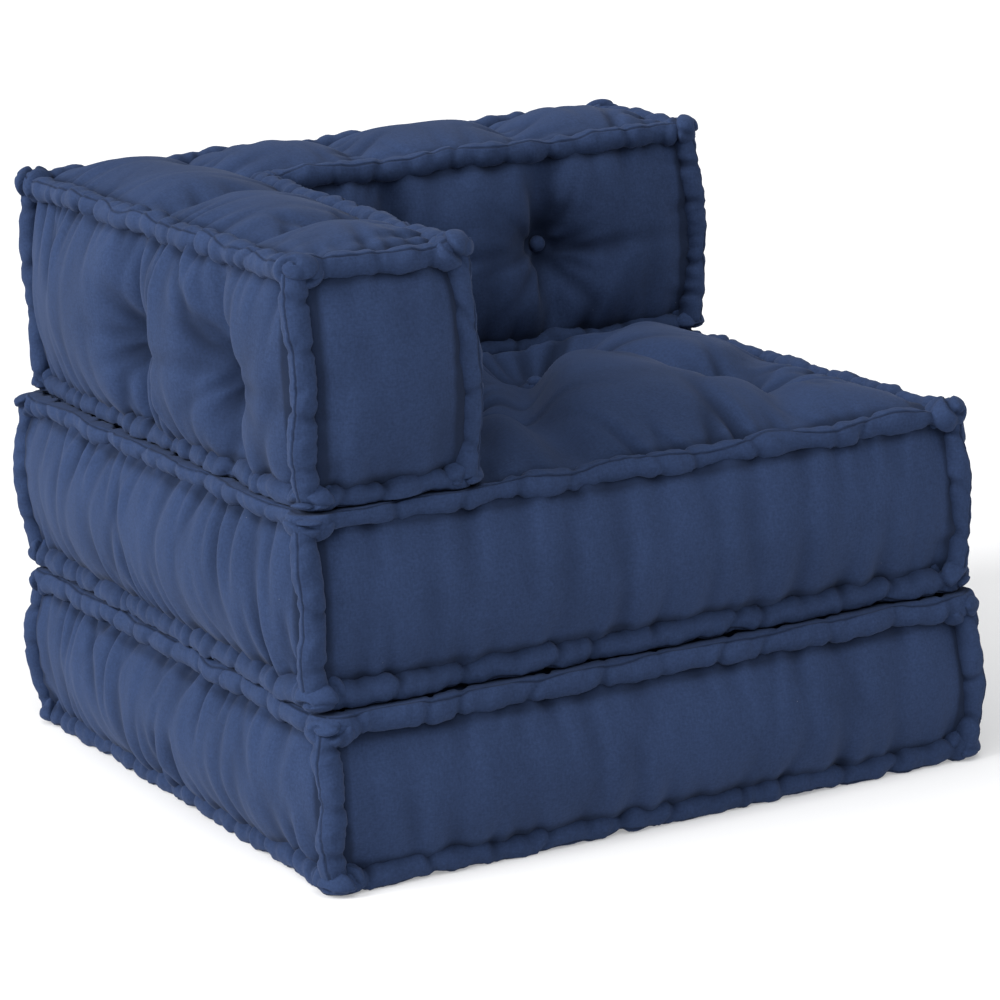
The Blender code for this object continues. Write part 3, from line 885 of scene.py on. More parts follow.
def piece(name, points, faces, uv=None, seam=None, painted_shade=None):
    """A new smooth mesh object; uv is the cloth's flat place in metres at each point, seam marks the
    sewn seam, and the last values are the painted shade at each point.
    """
    mesh = bpy.data.meshes.new(name)
    mesh.from_pydata(np.asarray(points).tolist(), [], faces)
    mesh.shade_smooth()
    if uv is not None:
        layer = mesh.uv_layers.new(name="cloth")
        corners = read(mesh.loops, "vertex_index", 1, np.int32).ravel()
        layer.data.foreach_set("uv", uv[corners].astype(np.float32).ravel())
    # the "fold" values are painted shade, kept for the finishes
    for title, values in (("seam", seam), ("fold", painted_shade)):
        if values is not None:
            mark(mesh, title, values)
    obj = bpy.data.objects.new(name, mesh)
    bpy.context.scene.collection.objects.link(obj)
    return obj


def apply_modifiers(obj):
    """Make an object's modified shape its own."""
    graph = bpy.context.evaluated_depsgraph_get()
    mesh = bpy.data.meshes.new_from_object(obj.evaluated_get(graph))
    obj.modifiers.clear()
    obj.data = mesh


FINISHES = {}   # materials by slot name


def finish_piece(obj, prefix, slot, node):
    """Give a piece its cloth, and put it in its cushion in place of a node of the frame."""
    obj.data.materials.clear()
    obj.data.materials.append(FINISHES[slot])
    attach(obj, f"{prefix}_cushion")
    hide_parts(f"{prefix}_{node}")


def fold_panel(case, side, obj):
    """Round off a panel's settled cloth, then fold it, press it where it touches, and store its painted
    shade.
    """
    rounder = obj.modifiers.new("rounder", "SUBSURF")
    rounder.levels = 1
    rounder.render_levels = 1
    apply_modifiers(obj)
    mesh = obj.data
    corners = read(mesh.loops, "vertex_index", 1, np.int32).ravel()
    flat = np.zeros((len(mesh.vertices), 2))
    flat[corners] = read(mesh.uv_layers["cloth"].data, "uv", 2)
    points = read(mesh.vertices, "co", 3).astype(float)
    points, painted_shade = relief(case, side, points, flat, read(mesh.vertices, "normal", 3))
    move_points(mesh, press(case.prefix, points))
    # the "fold" value is painted shade in the folds and along the border
    mark(mesh, "fold", painted_shade)


def panels(case):
    """One object for each panel of the case, cut from the settled skin."""
    for side in sorted(case.on):
        used, local = np.unique(case.quads[case.quad_side == side], return_inverse=True)
        points = case.place[used]
        if side == "bottom":
            points = press(case.prefix, points)
        obj = piece(f"{case.prefix}_{side}_cloth", points, local.reshape(-1, 4).tolist(),
                    case.flat_place(side, used))
        if side != "bottom":
            fold_panel(case, side, obj)
        thickness = obj.modifiers.new("thickness", "SOLIDIFY")
        thickness.thickness = CLOTH_THICKNESS
        thickness.offset = -1
        apply_modifiers(obj)
        finish_piece(obj, case.prefix, "navy_cotton", f"{side}_panel")


def wadding(case):
    """The stuffing, a little inside the cloth and moved with its folds."""
    obj = piece(f"{case.prefix}_wadding", case.place, case.quads.tolist())
    normals = read(obj.data.vertices, "normal", 3).astype(float)
    points = case.place.copy()
    for side in sorted(case.on):
        chosen = case.on[side] & ~case.border
        points[chosen], _ = relief(case, side, case.place[chosen],
                                   case.flat_place(side, chosen), normals[chosen])
    move_points(obj.data, press(case.prefix, points) - WADDING_INSET * normals)
    finish_piece(obj, case.prefix, "cotton_wadding", "filling")


# ---------------------------------------------------------------- rolled edges

def ring_line(prefix, level):
    """Centre line of a ring: places, outward directions, distances along, marks and corners."""
    corners, sides = outline(prefix)
    ring = RINGS[f"{prefix}_{level}"]
    runs, marks, corner_at, total = [], [], [], 0.0
    for index, side in enumerate(sides):
        start = np.array(corners[index])
        end = np.array(corners[(index + 1) % len(corners)])
        length = np.linalg.norm(end - start)
        runs.append((total, start, (end - start) / length, length))
        corner_at.append(total)
        marks += (total + stitch_marks(prefix, level, side, length)).tolist()
        total += length
    count = round(total / settings("roll").step)
    distances = total * np.arange(count) / count
    places, outs = [], []
    for distance in distances:
        index = max(i for i, entry in enumerate(runs) if entry[0] <= distance + 1e-9)
        begin, start, run, length = runs[index]
        along = distance - begin
        point = start + run * along
        normal = np.array([run[1], -run[0]])
        if along < RING_CORNER or along > length - RING_CORNER:
            if along < RING_CORNER:
                first, second, corner = runs[index - 1][2], run, start
                part = (RING_CORNER + along) / (2 * RING_CORNER)
            else:
                _, corner, second, _ = runs[(index + 1) % len(runs)]
                first = run
                part = (along - length + RING_CORNER) / (2 * RING_CORNER)
            point = ((corner - first * RING_CORNER) * (1 - part) ** 2
                     + corner * 2 * part * (1 - part)
                     + (corner + second * RING_CORNER) * part ** 2)
            turning = first * (1 - part) + second * part
            normal = unit(np.array([turning[1], -turning[0]]))
        places.append([*point, ring["z"] + ring["lean"]])
        outs.append([*normal, 0.0])
    return np.array(places), np.array(outs), distances, np.array(marks), np.array(corner_at), total


def waves(rng, distances, total, amplitude, longest=0.25, shortest=0.03):
    """A gentle random waver along a line that joins up with itself."""
    value = np.zeros(len(distances))
    for _ in range(7):
        turns = max(1, round(total / rng.uniform(shortest, longest)))
        value += rng.normal() * np.sin(2 * math.pi * (turns * distances / total + rng.random()))
    return amplitude * value / 2.6


def roll_surface(places, crest, across, distances, total, marks, radius, rng, closed, depth,
                 lobes):
    """Points, cloth places, seam and painted shade of a rolled edge around its centre line.

    crest points at the sewn seam, across lies at right angles to it; marks are the stitches;
    depth is how far the stitches draw in, and lobes how much the panel side is scalloped."""
    count = settings("roll").around
    turn = 2 * math.pi * np.arange(count) / count
    angle = turn - 0.62 * np.sin(turn)
    slant = rng.normal(0.0, 0.62, len(marks)) + 0.35
    if closed:
        marks_all = np.concatenate([marks - total, marks, marks + total])
        slant_all = np.tile(slant, 3)
        strength_all = np.tile(rng.uniform(0.55, 1.1, len(marks)), 3)
    else:
        marks_all = np.concatenate([[-0.02], marks, [total + 0.02]])
        slant_all = np.concatenate([[0.0], slant, [0.0]])
        strength_all = np.concatenate([[0.6], rng.uniform(0.6, 1.1, len(marks)), [0.6]])
    order = np.argsort(marks_all)
    marks_all, slant_all, strength_all = marks_all[order], slant_all[order], strength_all[order]
    lean = np.interp(distances, marks_all, slant_all)
    shifted = distances[:, None] + lean[:, None] * 0.012 * np.sin(angle)[None, :]
    lower = np.clip(np.searchsorted(marks_all, shifted) - 1, 0, len(marks_all) - 2)
    length = np.maximum(marks_all[lower + 1] - marks_all[lower], 1e-4)
    part = np.clip((shifted - marks_all[lower]) / length, 0, 1)
    gap = np.minimum(part, 1 - part) * length
    strength = np.where(part < 0.5, strength_all[lower], strength_all[lower + 1])
    link = (4 * part * (1 - part)) ** 0.30
    lobes_at = np.sort(np.concatenate([marks_all, (marks_all[1:] + marks_all[:-1]) / 2
                                       + rng.uniform(-0.005, 0.005, len(marks_all) - 1)]))
    beside = np.clip(np.searchsorted(lobes_at, shifted) - 1, 0, len(lobes_at) - 2)
    lobe_gap = np.minimum(shifted - lobes_at[beside], lobes_at[beside + 1] - shifted)
    panel_side = np.clip(-np.sin(angle + 0.5), 0, 1)[None, :] ** 0.7
    bold = np.interp(shifted, lobes_at, rng.uniform(0.2, 1.5, len(lobes_at)))
    scallop = panel_side * bold * (1 - bell(lobe_gap, 0.006) * 1.6)
    flank = 0.45 + 0.55 * np.sin(np.abs(angle) / 2)[None, :] ** 0.7
    pinch = strength * bell(gap, 0.0042)
    tuck = np.cos(2 * math.pi * gap / 0.0062) * bell(gap, 0.010) * flank
    full = 1 - depth + depth * 1.05 * link
    size = radius[:, None] * full - pinch * 0.0030 * flank + 0.00040 * tuck * strength
    size += 0.0014 * scallop * np.reshape(lobes, (-1, 1))
    ripple = np.zeros_like(size)
    for _ in range(8):
        along_turns = max(1, round(total / rng.uniform(0.010, 0.045)))
        around = rng.integers(-3, 4)
        phase = rng.random() * 2 * math.pi
        ripple += np.sin(2 * math.pi * along_turns * distances[:, None] / total
                         + around * angle[None, :] + phase)
    size += 0.00022 * ripple
    wander = waves(rng, distances, total, 0.20, 0.30, 0.06)[:, None]
    offset = np.arctan2(np.sin(angle[None, :] - wander), np.cos(angle[None, :] - wander))
    size += 0.0011 * bell(offset, 0.22) - 0.0019 * bell(offset, 0.08)
    seam = bell(offset, 0.095)
    direction = (crest[:, None, :] * np.cos(angle)[None, :, None]
                 + across[:, None, :] * np.sin(angle)[None, :, None])
    points = places[:, None, :] + direction * size[..., None]
    uv = np.stack([np.broadcast_to(distances[:, None], size.shape),
                   np.broadcast_to((angle * 0.012)[None, :], size.shape)], axis=-1)
    # painted shade: darker in the stitch pinches, between the lobes on the panel side, and on the
    # roll's underside towards the panel
    painted_shade = (0.9 * pinch * flank + 0.35 * panel_side * bell(lobe_gap, 0.005)
              + 0.5 * np.clip(-np.sin(angle + 0.5), 0, 1)[None, :] ** 3)
    return points.reshape(-1, 3), uv.reshape(-1, 2), seam.ravel(), painted_shade.ravel()


def grid_faces(rows, columns, closed=False):
    """Quads of rings of points laid row after row; closed joins the last row to the first."""
    row, column = np.meshgrid(np.arange(rows if closed else rows - 1), np.arange(columns),
                              indexing="ij")
    ahead, beside = (row + 1) % rows, (column + 1) % columns
    quads = np.stack([row * columns + column, ahead * columns + column,
                      ahead * columns + beside, row * columns + beside], axis=-1)
    return quads.reshape(-1, 4)


def knob_surface(centre, axis, side_way, sizes, rng):
    """A turned-in corner: the roll's cloth curled round itself into a knob, with painted shade in its
    curls.
    """
    axis = unit(axis)
    side_way = unit(side_way - axis * (side_way @ axis))
    third = np.cross(axis, side_way)
    twist = rng.choice([-1, 1]) * rng.uniform(3.4, 4.6)
    phase = rng.random() * 2 * math.pi
    polar = math.pi * np.arange(KNOB_RINGS + 1)[:, None] / KNOB_RINGS
    around = 2 * math.pi * np.arange(KNOB_SPOKES)[None, :] / KNOB_SPOKES
    wide = np.clip(np.sin(polar), 0, 1)
    curl = np.maximum(0.0, np.cos(around - twist * polar + phase)) ** 4
    crimp = np.maximum(0.0, np.cos(2 * around + twist * 0.7 * polar + 2 * phase)) ** 6
    size = 1 - 0.36 * curl * wide ** 0.5 - 0.12 * crimp * wide
    ways = [np.cos(polar) * np.ones_like(around), wide * np.cos(around), wide * np.sin(around)]
    points = sum((way * size * reach)[..., None] * direction
                 for way, reach, direction in zip(ways, sizes, (axis, side_way, third)))
    uv = np.stack(np.broadcast_arrays(around * 0.012, polar * 0.016), axis=-1)
    # painted shade in the grooves of the curls and crimps
    painted_shade = 1.3 * curl * wide + 0.6 * crimp * wide
    return centre + points.reshape(-1, 3), uv.reshape(-1, 2), painted_shade.ravel()


def fitted(prefix, knob, middle):
    """Squash a corner knob in height so that it keeps within the room its cushion has."""
    knob = settle_corner(prefix, knob)
    pressed = press(prefix, knob.copy(), KNOB_GAP)
    for way in (1.0, -1.0):
        beyond = (knob[:, 2] - middle) * way
        inside = (pressed[:, 2] - middle) * way
        if beyond.max() > inside.max() + 1e-6:
            side = beyond > 0
            knob[side, 2] = middle + way * beyond[side] * max(0.3, inside.max() / beyond.max())
    return knob


def rolled_ring(prefix, level):
    """A ring of rolled edge with its turned-in corners."""
    rng = seeded(prefix + level, 11)
    places, outs, distances, marks, corner_at, total = ring_line(prefix, level)
    ring = RINGS[f"{prefix}_{level}"]
    up = np.array([0.0, 0.0, 1.0 if level == "top" else -1.0])
    radius = np.full(len(distances), ring["radius"] + EDGE_SPARE)
    to_corner = np.abs((distances[:, None] - corner_at[None, :] + total / 2) % total - total / 2)
    nearest = to_corner.min(axis=1)
    radius += waves(rng, distances, total, 0.0012, 0.16, 0.03)
    radius *= 1 + 0.16 * bell(nearest, 0.016)
    if (prefix, level) in MEETING_EDGES:
        radius += MEETING_SPARE
    places = places + outs * (0.0005 + 0.002 * bell(nearest, 0.02))[:, None]
    places = places + outs * waves(rng, distances, total, 0.0018, 0.2, 0.04)[:, None]
    places[:, 2] += waves(rng, distances, total, 0.0014, 0.2, 0.04)
    crest = outs * math.cos(SEAM_TILT) + up * math.sin(SEAM_TILT)
    across = np.cross(np.roll(places, -1, axis=0) - places, crest)
    across /= np.linalg.norm(across, axis=1)[:, None]
    tucks = np.sort(np.concatenate([corner_at, marks]) % total)
    lobes = np.where(np.abs(outs[:, 0]) > np.abs(outs[:, 1]), SIDE_LOBES, FRONT_LOBES)
    points, uv, seam, painted_shade = roll_surface(places, crest, across, distances, total, tucks,
                                            radius, rng, True, EDGE_STITCH_DEPTH, lobes)
    points = press(prefix, points)
    faces = grid_faces(len(distances), settings("roll").around, True).tolist()
    knob_faces = grid_faces(KNOB_RINGS + 1, KNOB_SPOKES)
    corners, _ = outline(prefix)
    for index, corner in enumerate(corners):
        if (prefix, index) == INNER_CORNER:
            continue
        out = np.array([*turn_at(corners, index), 0.0])
        centre = np.array([*corner, ring["z"]]) - out * 0.004
        axis = out * 0.85 + up * 0.42 + rng.normal(0, 0.12, 3)
        sizes = KNOB_SIZES * rng.uniform(0.95, 1.08)
        knob, knob_uv, knob_painted_shade = knob_surface(centre, axis, np.cross(out, up), sizes, rng)
        faces += (knob_faces + len(points)).tolist()
        points = np.vstack([points, fitted(prefix, knob, centre[2])])
        uv = np.vstack([uv, knob_uv])
        seam = np.concatenate([seam, np.zeros(len(knob))])
        painted_shade = np.concatenate([painted_shade, knob_painted_shade])
    obj = piece(f"{prefix}_{level}_roll", points, faces, uv, seam, painted_shade)
    finish_piece(obj, prefix, "rolled_edge_cotton", f"{level}_rolled_edge")


# Names of the corner rolls, in the order of the outline's corners.
UPRIGHTS = {
    "base": ("front_left", "front_right", "back_right", "back_left"),
    "seat": ("front_left", "front_right", "back_right", "back_left"),
    "back": ("arm_front_outer", "arm_front_inner", "inner_corner", "right_end_inner",
             "right_end_outer", "rear_left"),
}


def upright(prefix, index, name):
    """A rolled edge up one corner, bowed outward by the stuffing."""
    rng = np.random.default_rng(900 + 31 * index + ord(prefix[1]))
    corners, _ = outline(prefix)
    low, high = (RINGS[f"{prefix}_{level}"]["z"] for level in LEVELS)
    length = high - low
    count = max(12, round(length / settings("roll").step))
    part = np.arange(count + 1) / count
    out = np.array([*turn_at(corners, index), 0.0])
    side_way = np.array([-out[1], out[0], 0.0])
    inner = (prefix, index) == INNER_CORNER
    stand = (0.003 if inner else 0.0) + upright_bow(prefix, index, part)
    sway = 0.003 * np.sin(2 * math.pi * (part * 1.3 + rng.random()))
    places = np.column_stack([np.tile(corners[index], (count + 1, 1)), low + length * part])
    places = places + out * stand[:, None] + side_way * sway[:, None]
    radius = np.full(count + 1, INNER_CORNER_RADIUS if inner else UPRIGHT_RADIUS)
    radius += 0.0009 * np.sin(2 * math.pi * (1.7 * part + rng.random()))
    lean = math.radians(-18 if index == 0 else 10 * rng.normal())
    crest = np.tile(out * math.cos(lean) + side_way * math.sin(lean), (count + 1, 1))
    across = np.cross(np.gradient(places, axis=0), crest)
    across /= np.linalg.norm(across, axis=1)[:, None]
    marks = upright_marks(prefix, index, length)
    points, uv, seam, painted_shade = roll_surface(places, crest, across, length * part, length, marks,
                                            radius, rng, False, UPRIGHT_STITCH_DEPTH,
                                            UPRIGHT_LOBES)
    columns = settings("roll").around
    faces = grid_faces(count + 1, columns).tolist()
    faces += [list(range(columns)), list(range(count * columns, (count + 1) * columns))[::-1]]
    obj = piece(f"{prefix}_{name}_roll", press(prefix, points), faces, uv, seam, painted_shade)
    finish_piece(obj, prefix, "rolled_edge_cotton", f"{name}_upright_roll")


# ---------------------------------------------------------------- buttons

def hoops(centre, axis, profile, spokes):
    """Rings of points round an axis; profile gives each ring's radius and place along it."""
    helper = np.array([0.0, 0.0, 1.0]) if abs(axis[2]) < 0.9 else np.array([1.0, 0.0, 0.0])
    first = unit(np.cross(axis, helper))
    second = np.cross(axis, first)
    turn = 2 * math.pi * np.arange(spokes) / spokes
    ring = first * np.cos(turn)[:, None] + second * np.sin(turn)[:, None]
    return np.vstack([centre + ring * radius + axis * along for radius, along in profile])


def hoop_faces(rows, spokes):
    """Quads of hoops, turned to face outward."""
    return grid_faces(rows, spokes)[:, [0, 3, 2, 1]].tolist()


def button(centre, outward):
    """Points and faces of a small cloth-covered button, domed along outward."""
    profile = [(BUTTON_RADIUS * reach, BUTTON_HEIGHT * rise) for reach, rise in BUTTON_PROFILE]
    points = np.vstack([hoops(centre, outward, profile, BUTTON_SPOKES),
                        centre + outward * BUTTON_HEIGHT])
    spokes = range(BUTTON_SPOKES)
    top = (len(profile) - 1) * BUTTON_SPOKES
    faces = hoop_faces(len(profile), BUTTON_SPOKES)
    faces += [[top + spoke, top + (spoke + 1) % BUTTON_SPOKES, len(points) - 1] for spoke in spokes]
    faces.append(list(reversed(spokes)))
    return points, faces


def tie(prefix, number, ends, outwards):
    """Two covered buttons held together by a twine through the cushion."""
    start, finish = ends
    length = np.linalg.norm(finish - start)
    twine = hoops(start, (finish - start) / length, [(TWINE_RADIUS, 0.0), (TWINE_RADIUS, length)],
                  TWINE_SPOKES)
    parts = [button(end, outward) for end, outward in zip(ends, outwards)]
    parts.append((twine, hoop_faces(2, TWINE_SPOKES)))
    points, faces = np.empty((0, 3)), []
    for more, more_faces in parts:
        faces += [[len(points) + index for index in face] for face in more_faces]
        points = np.vstack([points, more])
    uv = points[:, :2] + points[:, 2:3] * 0.7
    obj = piece(f"{prefix}_tufted_buttons_{number}", points, faces, uv)
    finish_piece(obj, prefix, "covered_button", f"tuft_tie_{number}")


def tie_ends(case, number):
    """Where a tie's two buttons sit in the settled cloth, and the ways that they face."""
    x, y, z = tie_middle(number, case.prefix)
    if case.prefix != "back":
        ends = (("bottom", (x, y, case.low["z"])), ("top", (x, y, case.high["z"])))
    elif number in TUFTS[:2]:
        inner_x = arm_inner_x(y, case.high["front"])
        ends = (("arm_outer", (case.high["left"], y, z)), ("arm_inner", (inner_x, y, z)))
    else:
        ends = (("back_inner", (x, INNER_Y, z)), ("back_outer", (x, case.high["back"], z)))
    places, ways = [], []
    for side, centre in ends:
        rows = np.flatnonzero(case.on[side])
        gap = np.linalg.norm(case.flat[rows] - np.array(centre), axis=1)
        settled = case.place[rows[gap.argmin()]][None, :].copy()
        way = -case.inward(side)
        places.append(settle_corner(case.prefix, settled)[0] + way * 0.003)
        ways.append(way)
    return places, ways


# ---------------------------------------------------------------- cloth finishes

LINT_COLOUR = (0.42, 0.45, 0.52)
LINT_REACH = 0.020
BLOOM_COLOUR = (0.62, 0.72, 1.0)
WADDING_SHADE = (0.62, 0.58, 0.50)
WADDING_LIGHT = (0.80, 0.77, 0.70)
SLUB_FINE = 900             # slubs to the metre across a thread, and along it
SLUB_LONG = 70


class Wire:
    """One output of a shader node, which Python's arithmetic can use."""

    def __init__(self, maker, socket):
        self.maker = maker
        self.socket = socket

    def calc(self, operation, other=None, swapped=False):
        """One Math node; swapped puts the other value first."""
        values = [self] if other is None else [self, other]
        if swapped:
            values.reverse()
        return self.maker.node("ShaderNodeMath", {"operation": operation}, dict(enumerate(values)))

    def __add__(self, other):
        return self.calc("ADD", other)

    def __radd__(self, other):
        return self.calc("ADD", other, True)

    def __sub__(self, other):
        return self.calc("SUBTRACT", other)

    def __rsub__(self, other):
        return self.calc("SUBTRACT", other, True)

    def __mul__(self, other):
        return self.calc("MULTIPLY", other)

    def __rmul__(self, other):
        return self.calc("MULTIPLY", other, True)

    def __truediv__(self, other):
        return self.calc("DIVIDE", other)

    def __rtruediv__(self, other):
        return self.calc("DIVIDE", other, True)

    def __gt__(self, other):
        return self.calc("GREATER_THAN", other)

    def ribs(self):
        """The rounded ribs of a row of threads."""
        return self.calc("SINE").calc("ABSOLUTE")

    def kept_between(self, low, high):
        return self.calc("MAXIMUM", low).calc("MINIMUM", high)


class Finish:
    """A material being put together from nodes."""

    def __init__(self, name):
        self.material = bpy.data.materials.new(name)
        self.material.use_nodes = True
        self.tree = self.material.node_tree
        self.shader = self.tree.nodes["Principled BSDF"]

    def feed(self, socket, value):
        """Link a wire to a socket, or set the socket to a plain value."""
        if isinstance(value, Wire):
            self.tree.links.new(value.socket, socket)
        elif hasattr(value, "__len__") and socket.type == "RGBA" and len(value) == 3:
            socket.default_value = (*value, 1.0)
        else:
            socket.default_value = value

    def node(self, kind, settings=None, inputs=None, output=0):
        """Any node: its type, its settings and what goes into its sockets."""
        made = self.tree.nodes.new(kind)
        for key, value in (settings or {}).items():
            setattr(made, key, value)
        for key, value in (inputs or {}).items():
            self.feed(made.inputs[key], value)
        return Wire(self, made.outputs[output])

    def split(self, vector):
        made = self.node("ShaderNodeSeparateXYZ", None, {0: vector})
        return [Wire(self, output) for output in made.socket.node.outputs]

    def join(self, x, y, z=0.0):
        return self.node("ShaderNodeCombineXYZ", None, {0: x, 1: y, 2: z})

    def mix(self, factor, first, second):
        """A colour between the first and the second."""
        return self.node("ShaderNodeMix", {"data_type": "RGBA"}, {0: factor, 6: first, 7: second}, 2)

    def place(self):
        """The place on the object, in metres."""
        return self.node("ShaderNodeTexCoord", None, None, 3)

    def strength(self, attribute):
        """A value stored at the points of the piece."""
        return self.node("ShaderNodeAttribute", {"attribute_name": attribute}, None, 2)

    def bump(self, height, strength, distance, under=None):
        """Relief that catches the light, on top of the relief under it."""
        inputs = {"Strength": strength, "Distance": distance, "Height": height}
        if under is not None:
            inputs["Normal"] = under
        return self.node("ShaderNodeBump", None, inputs)

    def noise(self, vector, scale, detail=2.0, roughness=0.5):
        return self.node("ShaderNodeTexNoise", {"noise_dimensions": "3D"},
                         {"Vector": vector, "Scale": scale, "Detail": detail, "Roughness": roughness})

    def set(self, **values):
        """Set or feed the shader's own sockets."""
        for key, value in values.items():
            self.feed(self.shader.inputs[key.replace("_", " ")], value)


def shaded(colour, share):
    return tuple(channel * share for channel in colour)


def cotton(name, colour, seam_colour=None):
    """Plain-woven cotton: threads, slubs, a little lint, painted shade in folds and along the rolls,
    and a soft bloom at grazing angles.
    """
    finish = Finish(name)
    cloth = finish.node("ShaderNodeUVMap", {"uv_map": "cloth"})
    place = finish.place()
    u, v, _ = finish.split(cloth)
    pitch = settings("finish").thread
    warp = (u * (math.pi / pitch)).ribs()
    weft = (v * (math.pi / pitch)).ribs()
    slub_along = finish.noise(finish.join(u * SLUB_FINE, v * SLUB_LONG), 1.0, 1.5)
    slub_across = finish.noise(finish.join(u * SLUB_LONG, v * SLUB_FINE, 3.0), 1.0, 1.5)
    mottle = finish.noise(place, 9.0, 3.0)
    grain = finish.noise(place, 420.0, 2.0)
    shade = 0.10 * (slub_along + slub_across) + 0.16 * mottle + 0.28 * grain
    body = finish.mix((shade - 0.32) * 3.2 + 0.5, shaded(colour, 0.62), shaded(colour, 1.30))
    lint_place = finish.node("ShaderNodeTexVoronoi", {"feature": "F1"},
                             {"Vector": place, "Scale": 38.0})
    lint_pick = finish.noise(place, 21.0, 0.0)
    lint = (LINT_REACH - lint_place) * 60 * (lint_pick > 0.60)
    body = finish.mix(lint.kept_between(0.0, 1.0) * 0.55, body, LINT_COLOUR)
    # painted shade: the "fold" value darkens the cloth towards a third of its colour
    painted_crease_shade = (finish.strength("fold") * 0.52).kept_between(0.0, 0.80)
    body = finish.mix(painted_crease_shade, body, shaded(colour, 0.30))
    if seam_colour is not None:
        body = finish.mix(finish.strength("seam") * 0.7, body, seam_colour)
    height = 0.5 * warp + 0.5 * weft + 0.5 * slub_along + 0.5 * slub_across
    weave = finish.bump(height, 0.20, 0.0005)
    puckered = finish.bump(finish.noise(place, 75.0, 2.5), 0.30, 0.0016, weave)
    finish.set(Base_Color=body, Roughness=0.94, Normal=puckered)
    finish.set(Specular_IOR_Level=0.10, Sheen_Weight=0.07, Sheen_Roughness=0.45,
               Sheen_Tint=BLOOM_COLOUR)
    return finish.material


def wadding_finish(name):
    """Loose cream wadding."""
    finish = Finish(name)
    tufts = finish.noise(finish.place(), 140.0, 4.0)
    finish.set(Base_Color=finish.mix(tufts, WADDING_SHADE, WADDING_LIGHT), Roughness=1.0)
    return finish.material


# ---------------------------------------------------------------- stage

CAMERA_PLACE = Vector((-1.65906, -3.21825, 1.12062))
CAMERA_TARGET = Vector((0.0235, 0.0, 0.2403))
CAMERA_ROLL = math.radians(-2.68)
CAMERA_LENS = 135.32
FLOOR_REACH = 30.0
FLOOR_COLOUR = (0.62, 0.62, 0.625)
FLOOR_GLOW = 0.30
SKY_COLOUR = (0.96, 0.98, 1.0, 1.0)
SKY_STRENGTH = 0.30
# Each lamp's name, the direction that it shines from, its softness in degrees and its strength.
LAMPS = (("key", (-1.0, 0.08, 0.62), 30, 3.6), ("top", (-0.25, -0.55, 1.0), 60, 2.0))


def aim(obj, target, roll=0.0):
    obj.rotation_euler = (target - obj.location).to_track_quat("-Z", "Y").to_euler()
    obj.rotation_euler.rotate_axis("Z", roll)


def camera():
    """The camera at the left front corner."""
    data = bpy.data.cameras.new("view")
    data.lens = CAMERA_LENS
    data.sensor_width = 36.0
    obj = bpy.data.objects.new("view", data)
    obj.location = CAMERA_PLACE
    aim(obj, CAMERA_TARGET, CAMERA_ROLL)
    bpy.context.scene.collection.objects.link(obj)
    bpy.context.scene.camera = obj
    return obj


def lamp(name, place, softness, strength):
    """Even light that comes from the direction of place."""
    data = bpy.data.lights.new(name, "SUN")
    data.energy = strength
    data.angle = math.radians(softness)
    obj = bpy.data.objects.new(name, data)
    obj.location = Vector(place) * 4
    aim(obj, Vector((0, 0, 0)))
    bpy.context.scene.collection.objects.link(obj)
    return obj


def floor():
    """A plain pale floor."""
    corners = [(x * FLOOR_REACH, y * FLOOR_REACH, 0.0) for x, y in ((-1, -1), (1, -1), (1, 1), (-1, 1))]
    mesh = bpy.data.meshes.new("floor")
    mesh.from_pydata(corners, [], [(0, 1, 2, 3)])
    obj = bpy.data.objects.new("floor", mesh)
    bpy.context.scene.collection.objects.link(obj)
    finish = Finish("pale_floor")
    finish.set(Base_Color=FLOOR_COLOUR, Roughness=0.9, Specular_IOR_Level=0.1)
    finish.set(Emission_Color=(1.0, 1.0, 1.0), Emission_Strength=FLOOR_GLOW)
    obj.data.materials.append(finish.material)
    return obj


def daylight():
    """Even pale light from all round."""
    world = bpy.data.worlds.new("pale room")
    world.use_nodes = True
    back = world.node_tree.nodes["Background"]
    back.inputs["Color"].default_value = SKY_COLOUR
    back.inputs["Strength"].default_value = SKY_STRENGTH
    bpy.context.scene.world = world


# ---------------------------------------------------------------- operators and panel

CASES = {}      # settled cases by cushion, for the buttons


class FLOORSEAT_OT_finishes(bpy.types.Operator):
    """Mix the cotton, the rolled edges' cotton, the buttons' cotton and the wadding"""
    bl_idname = "floorseat.finishes"
    bl_label = "Cloth finishes"

    def execute(self, context):
        sizes = settings("finish")
        navy = tuple(sizes.navy)
        FINISHES["navy_cotton"] = cotton("navy cotton", navy)
        FINISHES["rolled_edge_cotton"] = cotton("rolled cotton", navy, tuple(sizes.seam))
        FINISHES["covered_button"] = cotton("button cotton", navy)
        FINISHES["cotton_wadding"] = wadding_finish("white wadding")
        return {"FINISHED"}


class FLOORSEAT_OT_cases(bpy.types.Operator):
    """Sew the three cases, stuff them, and let the cloth settle"""
    bl_idname = "floorseat.cases"
    bl_label = "Cases and wadding"

    def execute(self, context):
        cases = [Case(prefix) for prefix in CUSHIONS]
        for case in cases:
            case.shape()
            if case.prefix == "back":
                tuft_back(case)
            else:
                tuft_square(case)
        settle_cases(cases)
        for case in cases:
            CASES[case.prefix] = case
            panels(case)
            wadding(case)
        return {"FINISHED"}


class FLOORSEAT_OT_rolled_edges(bpy.types.Operator):
    """Roll and stitch the edges round the top and the bottom of every cushion"""
    bl_idname = "floorseat.rolled_edges"
    bl_label = "Rolled edges"

    def execute(self, context):
        for prefix in CUSHIONS:
            for level in LEVELS:
                rolled_ring(prefix, level)
        return {"FINISHED"}


class FLOORSEAT_OT_upright_rolls(bpy.types.Operator):
    """Roll and stitch the edges up the corners"""
    bl_idname = "floorseat.upright_rolls"
    bl_label = "Corner rolls"

    def execute(self, context):
        for prefix, names in UPRIGHTS.items():
            for index, name in enumerate(names):
                upright(prefix, index, name)
        return {"FINISHED"}


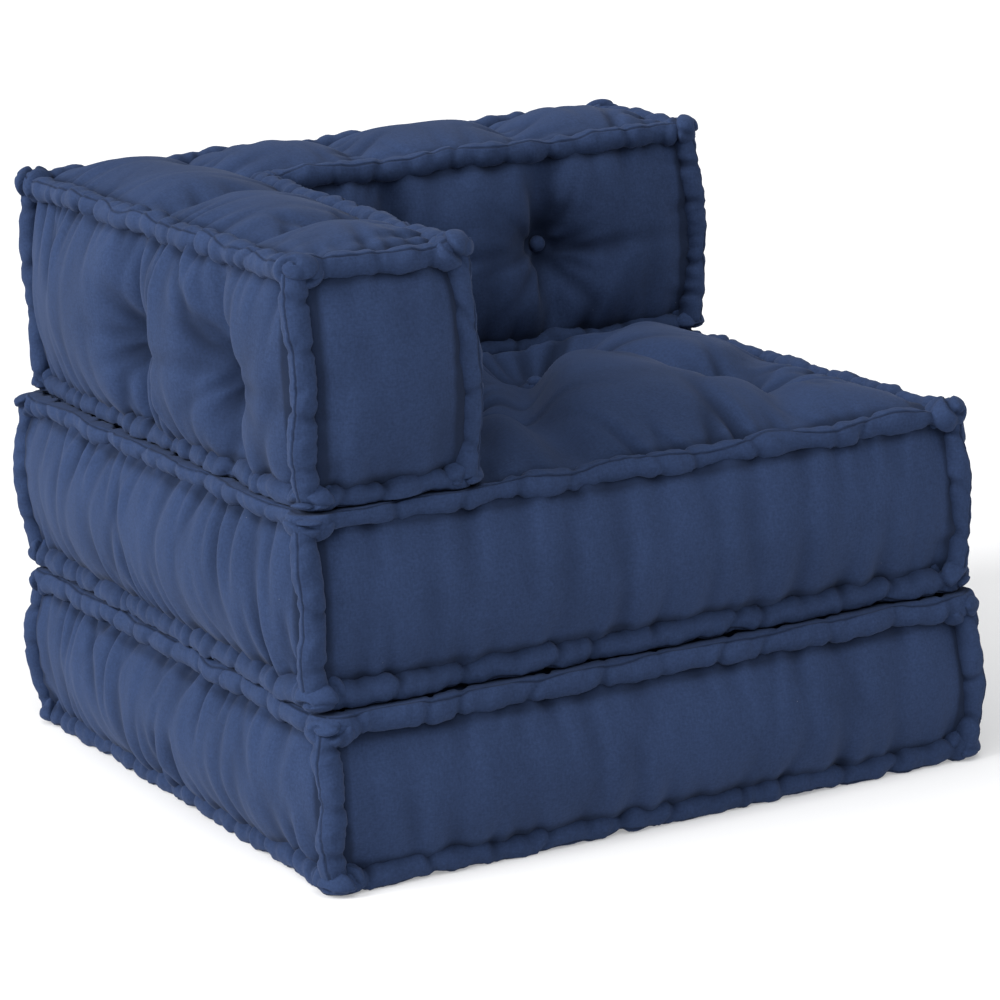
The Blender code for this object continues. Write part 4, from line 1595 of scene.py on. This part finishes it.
class FLOORSEAT_OT_buttons(bpy.types.Operator):
    """Tie the covered buttons into the tufts"""
    bl_idname = "floorseat.buttons"
    bl_label = "Buttons"

    def execute(self, context):
        if not CASES:
            raise RuntimeError("sew the cases before the buttons")
        for prefix, case in CASES.items():
            for number in TUFTS:
                tie(prefix, number, *tie_ends(case, number))
        return {"FINISHED"}


class FLOORSEAT_OT_stage(bpy.types.Operator):
    """Set out the floor, the lights and the camera"""
    bl_idname = "floorseat.stage"
    bl_label = "Stage"

    def execute(self, context):
        daylight()
        lamps = [lamp(*facts) for facts in LAMPS]
        floor()
        camera()
        context.scene.view_settings.view_transform = "Standard"
        return {"FINISHED"}


class FLOORSEAT_PT_panel(bpy.types.Panel):
    """Lists the steps in the order in which the seat is made"""
    bl_label = "Floor Seat"
    bl_idname = "FLOORSEAT_PT_panel"
    bl_space_type = "VIEW_3D"
    bl_region_type = "UI"
    bl_category = "Floor Seat"

    def draw(self, context):
        for operator in OPERATORS:
            self.layout.operator(operator.bl_idname)


OPERATORS = (FLOORSEAT_OT_finishes, FLOORSEAT_OT_cases, FLOORSEAT_OT_rolled_edges,
             FLOORSEAT_OT_upright_rolls, FLOORSEAT_OT_buttons, FLOORSEAT_OT_stage)
GROUPS = {"cloth": FLOORSEAT_PG_cloth, "roll": FLOORSEAT_PG_roll, "finish": FLOORSEAT_PG_finish}


def register():
    for name, group in GROUPS.items():
        bpy.utils.register_class(group)
        setattr(bpy.types.Scene, f"floorseat_{name}", PointerProperty(type=group))
    for operator in OPERATORS:
        bpy.utils.register_class(operator)
    bpy.utils.register_class(FLOORSEAT_PT_panel)


def unregister():
    bpy.utils.unregister_class(FLOORSEAT_PT_panel)
    for operator in reversed(OPERATORS):
        bpy.utils.unregister_class(operator)
    for name, group in GROUPS.items():
        delattr(bpy.types.Scene, f"floorseat_{name}")
        bpy.utils.unregister_class(group)


def main():
    register()
    for operator in OPERATORS:
        getattr(bpy.ops.floorseat, operator.bl_idname.split(".")[1])()


if __name__ == "__main__":
    main()
